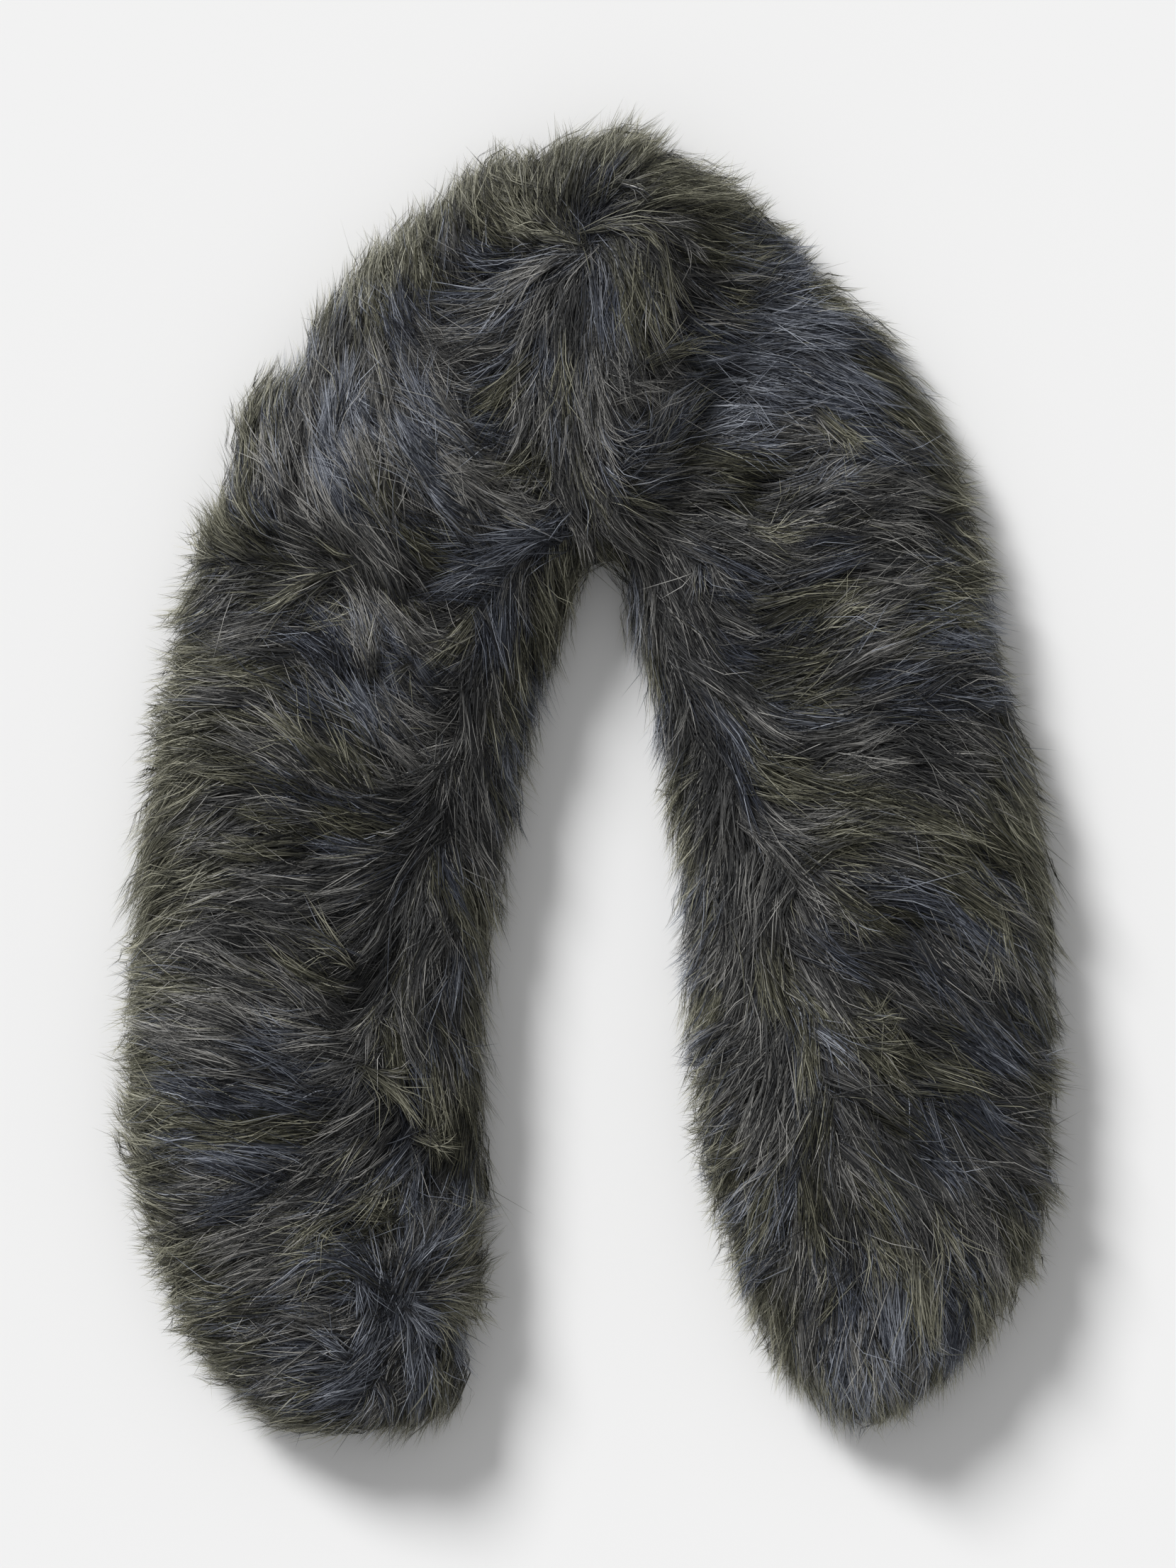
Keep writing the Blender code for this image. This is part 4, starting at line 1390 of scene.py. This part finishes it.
def add_node(
    tree: bpy.types.NodeTree, kind: str, settings: dict | None = None, links: dict | None = None
) -> bpy.types.Node:
    """Add a node with its settings and links.

    Args:
        tree: The node tree.
        kind: The node's type name.
        settings: Values by property or input name.
        links: Output sockets by input name or number.

    Returns:
        The new node.
    """
    node = tree.nodes.new(kind)
    for key, value in (settings or {}).items():
        if isinstance(key, str) and hasattr(node, key):
            setattr(node, key, value)
        else:
            node.inputs[key].default_value = value
    for key, output in (links or {}).items():
        tree.links.new(output, node.inputs[key])
    return node


def set_ramp(node: bpy.types.Node, stops: list[tuple[float, tuple]]) -> None:
    """Give a colour ramp its stops.

    Args:
        node: The ramp node.
        stops: Places and linear colours, in order.
    """
    elements = node.color_ramp.elements
    while len(elements) > 1:
        elements.remove(elements[-1])
    elements[0].position, elements[0].color = stops[0]
    for place, colour in stops[1:]:
        elements.new(place).color = colour


def new_material(name: str) -> tuple[bpy.types.Material, bpy.types.Node]:
    """Return a new material and its shader."""
    material = bpy.data.materials.new(name)
    material.use_nodes = True
    return material, material.node_tree.nodes["Principled BSDF"]


def grey(value: float) -> tuple[float, float, float, float]:
    """Return a linear grey of this value."""
    return value, value, value, 1.0


@dataclass(frozen=True)
class ModacrylicPile:
    """Spun modacrylic hair, heat set and mottled: silky, dark at the root, pale at the tip; the dark
    root is partly tipped dye and partly painted shade of the deep pile.

    The three dye lots each run from their darkest to their lightest hair.
    """

    name: str
    root: str = "#101113"
    greys: tuple[str, str, str] = ("#111215", "#535352", "#bbb9b4")
    olives: tuple[str, str, str] = ("#141410", "#595847", "#bab8a4")
    slates: tuple[str, str, str] = ("#101218", "#4d525e", "#afb4be")
    roughness: float = 0.42
    ior: float = 1.53
    gloss: float = 0.22     # how much of the clear sheen the matted pile keeps
    rise: tuple[float, float] = (0.20, 0.96)    # where the root's dark, part tipped dye and part painted shade, ends, and the tip begins
    halfway: float = 0.55   # how much of the lot's colour has come halfway between
    root_matt: float = 0.16    # how much rougher the root is
    lot_edge: float = 0.002    # keeps each lot's colours off the next on the map

    def build(self) -> bpy.types.Material:
        """Make the material, which reads nothing but the hairs' own map."""
        material, shader = new_material(self.name)
        tree = material.node_tree
        shader.inputs["IOR"].default_value = self.ior
        shader.inputs["Specular IOR Level"].default_value = self.gloss
        where = add_node(tree, "ShaderNodeUVMap", {"uv_map": MAP_NAME})
        split = add_node(tree, "ShaderNodeSeparateXYZ", None, {0: where.outputs["UV"]})
        stops = []
        for lot, colours in zip(Family, (self.greys, self.olives, self.slates)):
            start = lot.value * FAMILY_WIDTH
            for share, colour in zip((0.0, 0.5, 1.0), colours):
                place = start + self.lot_edge + share * (FAMILY_WIDTH - 2.0 * self.lot_edge)
                stops.append((place, linear(colour)))
        lots = add_node(tree, "ShaderNodeValToRGB", None, {"Fac": split.outputs["X"]})
        set_ramp(lots, stops)
        # root to tip: partly tipped dye, partly painted shade deep in the pile
        climb = add_node(tree, "ShaderNodeValToRGB", None, {"Fac": split.outputs["Y"]})
        low, high = self.rise
        middle = ((low + high) / 2.0, grey(self.halfway))
        set_ramp(climb, [(low, grey(0.0)), middle, (high, grey(1.0))])
        mix = add_node(
            tree,
            "ShaderNodeMix",
            {"data_type": "RGBA"},
            {0: climb.outputs["Color"], 7: lots.outputs["Color"]},
        )
        mix.inputs[6].default_value = linear(self.root)
        tree.links.new(mix.outputs[2], shader.inputs["Base Color"])
        gloss = add_node(
            tree,
            "ShaderNodeMapRange",
            {"To Min": self.roughness + self.root_matt, "To Max": self.roughness},
            {"Value": split.outputs["Y"]},
        )
        tree.links.new(gloss.outputs["Result"], shader.inputs["Roughness"])
        return material


@dataclass(frozen=True)
class KnitBacking:
    """Warp knit polyester backing, dyed to match and matted with the roots of the pile."""

    name: str
    dark: str = "#111112"
    pale: str = "#232324"
    course: float = 2.4     # knit courses, drawn coarser than real so that they show
    detail: float = 3.0
    mottle: tuple[float, float] = (0.3, 0.7)    # where on the noise it turns dark and pale
    bump: float = 0.4
    bump_depth: float = 0.4 * MM
    roughness: float = 0.9

    def build(self) -> bpy.types.Material:
        """Make the material from fine waves and noise in the wrap's own metres."""
        material, shader = new_material(self.name)
        tree = material.node_tree
        shader.inputs["Roughness"].default_value = self.roughness
        where = add_node(tree, "ShaderNodeTexCoord")
        noise = add_node(
            tree,
            "ShaderNodeTexNoise",
            {"Scale": 1.0 / (self.course * MM), "Detail": self.detail},
            {"Vector": where.outputs["Object"]},
        )
        ramp = add_node(tree, "ShaderNodeValToRGB", None, {"Fac": noise.outputs["Fac"]})
        set_ramp(ramp, list(zip(self.mottle, (linear(self.dark), linear(self.pale)))))
        tree.links.new(ramp.outputs["Color"], shader.inputs["Base Color"])
        bump = add_node(
            tree,
            "ShaderNodeBump",
            {"Strength": self.bump, "Distance": self.bump_depth},
            {"Height": noise.outputs["Fac"]},
        )
        tree.links.new(bump.outputs["Normal"], shader.inputs["Normal"])
        return material


@dataclass(frozen=True)
class PaperSweep:
    """Matt white paper under the wrap."""

    name: str = "matt_paper"
    colour: str = "#f2f2f2"

    def build(self) -> bpy.types.Material:
        """Make the material."""
        material, shader = new_material(self.name)
        shader.inputs["Base Color"].default_value = linear(self.colour)
        shader.inputs["Roughness"].default_value = 1.0
        shader.inputs["Specular IOR Level"].default_value = 0.0
        return material


# --------------------------------------------------------------------------- panels


class Slot(Enum):
    """The record's material slots."""

    FRONT = "front_fur"
    FOLD = "fold_fur"
    BACK = "back_fur"


@dataclass(frozen=True)
class Cut:
    """One stretch of a panel: its solid, its slot, and its flat size in metres."""

    node: str
    piece: str
    slot: Slot
    width: float
    length: float
    area: float
    rests_on: tuple[str, ...]


CUTS = (
    Cut("front_panel_left", "left_front", Slot.FRONT, 0.155, 0.45, 0.066, ("back_panel_left",)),
    Cut("front_panel_shoulder", "shoulder", Slot.FRONT, 0.200, 0.16, 0.028, ("back_panel_neck",)),
    Cut("neck_fold", "neck_fold", Slot.FOLD, 0.170, 0.11, 0.0175, ("back_panel_neck",)),
    Cut("front_panel_right", "right_front", Slot.FRONT, 0.175, 0.50, 0.078, ("back_panel_right",)),
    Cut("back_panel_left", "left_back", Slot.BACK, 0.210, 0.46, 0.090, ()),
    Cut("back_panel_neck", "neck_back", Slot.BACK, 0.230, 0.26, 0.050, ()),
    Cut("back_panel_right", "right_back", Slot.BACK, 0.215, 0.48, 0.095, ()),
)


def add_object(name: str, data: bpy.types.ID) -> bpy.types.Object:
    """Put a new object in the scene."""
    thing = bpy.data.objects.new(name, data)
    bpy.context.scene.collection.objects.link(thing)
    return thing


def add_piece(cut: Cut, mesh: bpy.types.Mesh, material: bpy.types.Material) -> bpy.types.Object:
    """Make a mesh one of the pieces that replace a stretch's solid.

    Args:
        cut: The stretch.
        mesh: The piece's mesh, which gives it its name.
        material: Its finish.

    Returns:
        The piece.
    """
    mesh.materials.append(material)
    piece = add_object(mesh.name, mesh)
    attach(piece, "root")
    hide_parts(cut.node)
    return piece


class Cloth:
    """The backing cloth of the panels, inside the surface that the pile reaches."""

    PILE_DEPTH = 8.5 * MM
    RIM_DEPTH = 3.0 * MM     # how much deeper at a rim, where the pile stands apart
    REST_DEPTH = 1.2 * MM    # pile pressed flat on the resting side
    THICKNESS = 1.2 * MM
    SMOOTHING = 3

    def __init__(self, skin: Skin) -> None:
        """Set the backing out from the outer surface.

        Args:
            skin: The wrap's outer surface.
        """
        self.skin = skin
        down = np.clip(-skin.normals[:, 2], 0.0, 1.0)[:, None] ** 2
        steep = 1.0 - np.abs(skin.normals[:, 2:])
        inset = (self.PILE_DEPTH + self.RIM_DEPTH * steep) * (1.0 - down)
        inset += self.REST_DEPTH * down
        self.places = skin.points - skin.normals * inset
        self.places[:, 2] = np.maximum(self.places[:, 2], self.REST_DEPTH)

    def sew(self, cut: Cut, material: bpy.types.Material) -> bpy.types.Object:
        """Make one stretch's backing.

        Args:
            cut: The stretch.
            material: Its finish.

        Returns:
            The cloth's object, which replaces the solid.
        """
        number = self.skin.names.index(cut.node)
        cloth = self.skin.shell.copy()
        tag = cloth.faces.layers.int["node"]
        cloth.verts.index_update()
        for vertex, place in zip(cloth.verts, self.places.tolist()):
            vertex.co = place
        others = [face for face in cloth.faces if face[tag] != number]
        bmesh.ops.delete(cloth, geom=others, context="FACES")
        for _ in range(self.SMOOTHING):
            inner = [v for v in cloth.verts if not v.is_boundary]
            bmesh.ops.smooth_vert(
                cloth, verts=inner, factor=0.5, use_axis_x=True, use_axis_y=True, use_axis_z=True
            )
        bmesh.ops.recalc_face_normals(cloth, faces=cloth.faces)
        bmesh.ops.solidify(cloth, geom=cloth.faces[:], thickness=self.THICKNESS)
        mesh = bpy.data.meshes.new(f"{cut.piece}_backing")
        cloth.to_mesh(mesh)
        cloth.free()
        mesh.shade_smooth()
        return add_piece(cut, mesh, material)


class Pile:
    """Makes the hair pieces of the panels."""

    MOST_TRIANGLES = 190_000

    def __init__(self, skin: Skin, finishes: dict[Slot, bpy.types.Material]) -> None:
        """Keep the surface and the finishes."""
        self.skin = skin
        self.finishes = finishes

    def sew(self, cut: Cut, layer: Layer, hair: Hair) -> list[bpy.types.Object]:
        """Make one layer of hair on one stretch, in as many pieces as it needs.

        Args:
            cut: The stretch.
            layer: The kind of hair.
            hair: All hairs of that kind.

        Returns:
            The hair's objects.
        """
        rows = np.flatnonzero(hair.node == self.skin.names.index(cut.node))
        if len(rows) == 0:
            return []
        per_hair = 2 * (len(layer.shares) - 2)
        parts = max(1, math.ceil(len(rows) * per_hair / self.MOST_TRIANGLES))
        rows = rows[np.argsort(hair.paths[rows, -1, 1], kind="stable")]
        pieces = []
        for index, some in enumerate(np.array_split(rows, parts)):
            name = f"{cut.piece}_{layer.name}" + (f"_{index + 1}" if parts > 1 else "")
            mesh = hair_mesh(name, hair.pick(some))
            pieces.append(add_piece(cut, mesh, self.finishes[cut.slot]))
            LOG.info("%s: %d hairs, %d triangles", name, len(some), len(some) * per_hair)
        return pieces


# --------------------------------------------------------------------------- studio


@dataclass(frozen=True)
class Studio:
    """A pale floor, a soft key light and a camera straight above."""

    view_height: float = 0.708     # what the frame's long side takes in at the rims
    view_level: float = 0.015
    middle: tuple[float, float] = (-0.0020, -0.0009)
    camera_height: float = 2.6
    sensor: float = 36.0
    floor_size: float = 12.0
    key_from: tuple[float, float, float] = (-0.89, 1.16, 0.84)
    key_spread: float = math.radians(18.0)
    key_power: float = 3.80
    sky: float = 0.40

    def build(self) -> None:
        """Make the camera, the lights and the floor."""
        self._camera()
        self._lights()
        self._floor()

    def _camera(self) -> None:
        """Look straight down at the wrap."""
        data = bpy.data.cameras.new("camera")
        data.sensor_fit = "AUTO"
        data.sensor_width = self.sensor
        data.lens = self.sensor * self.camera_height / self.view_height
        camera = add_object("camera", data)
        camera.location = (*self.middle, self.camera_height + self.view_level)
        bpy.context.scene.camera = camera

    def _lights(self) -> None:
        """Hang the key light up and to the left, in an even sky."""
        data = bpy.data.lights.new("key", "SUN")
        data.angle = self.key_spread
        data.energy = self.key_power
        key = add_object("key", data)
        key.location = self.key_from
        key.rotation_euler = Vector(self.key_from).to_track_quat("Z", "Y").to_euler()
        world = bpy.data.worlds.new("sky")
        world.use_nodes = True
        background = world.node_tree.nodes["Background"]
        background.inputs["Color"].default_value = grey(1.0)
        background.inputs["Strength"].default_value = self.sky
        bpy.context.scene.world = world
        bpy.context.scene.view_settings.view_transform = "Standard"

    def _floor(self) -> None:
        """Lay the paper."""
        sheet = bmesh.new()
        bmesh.ops.create_grid(sheet, x_segments=1, y_segments=1, size=self.floor_size / 2.0)
        mesh = bpy.data.meshes.new("floor")
        sheet.to_mesh(mesh)
        sheet.free()
        mesh.materials.append(PaperSweep().build())
        add_object("floor", mesh)


def main() -> None:
    """Build the studio, the cloth and the pile."""
    logging.basicConfig(level=logging.INFO, format="%(message)s")
    rng = np.random.default_rng(SEED)
    Studio().build()
    skin = Skin(frame["nodes"])
    nap = Nap()
    locks = Locks(skin, nap, rng)
    coat = Coat(skin, nap, locks, rng)
    backing = KnitBacking("polyester_knit_backing").build()
    finishes = {
        slot: ModacrylicPile(f"modacrylic_pile_{slot.name.lower()}").build() for slot in Slot
    }
    cloth = Cloth(skin)
    pile = Pile(skin, finishes)
    grown = [
        (layer, coat.grow(layer, coat.wisps(layer))) for layer in (UNDERFUR, GUARD_HAIR, FRINGE)
    ]
    grown.append((LAID_HAIR, coat.grow(LAID_HAIR, SetWisps(skin, rng).wisps(LAID_HAIR))))
    for cut in CUTS:
        backing_piece = cloth.sew(cut, backing)
        hair_pieces = [piece for layer, hair in grown for piece in pile.sew(cut, layer, hair)]
        LOG.info("%s: sewn with %d pieces of pile", backing_piece.name, len(hair_pieces))


if __name__ == "__main__":
    main()
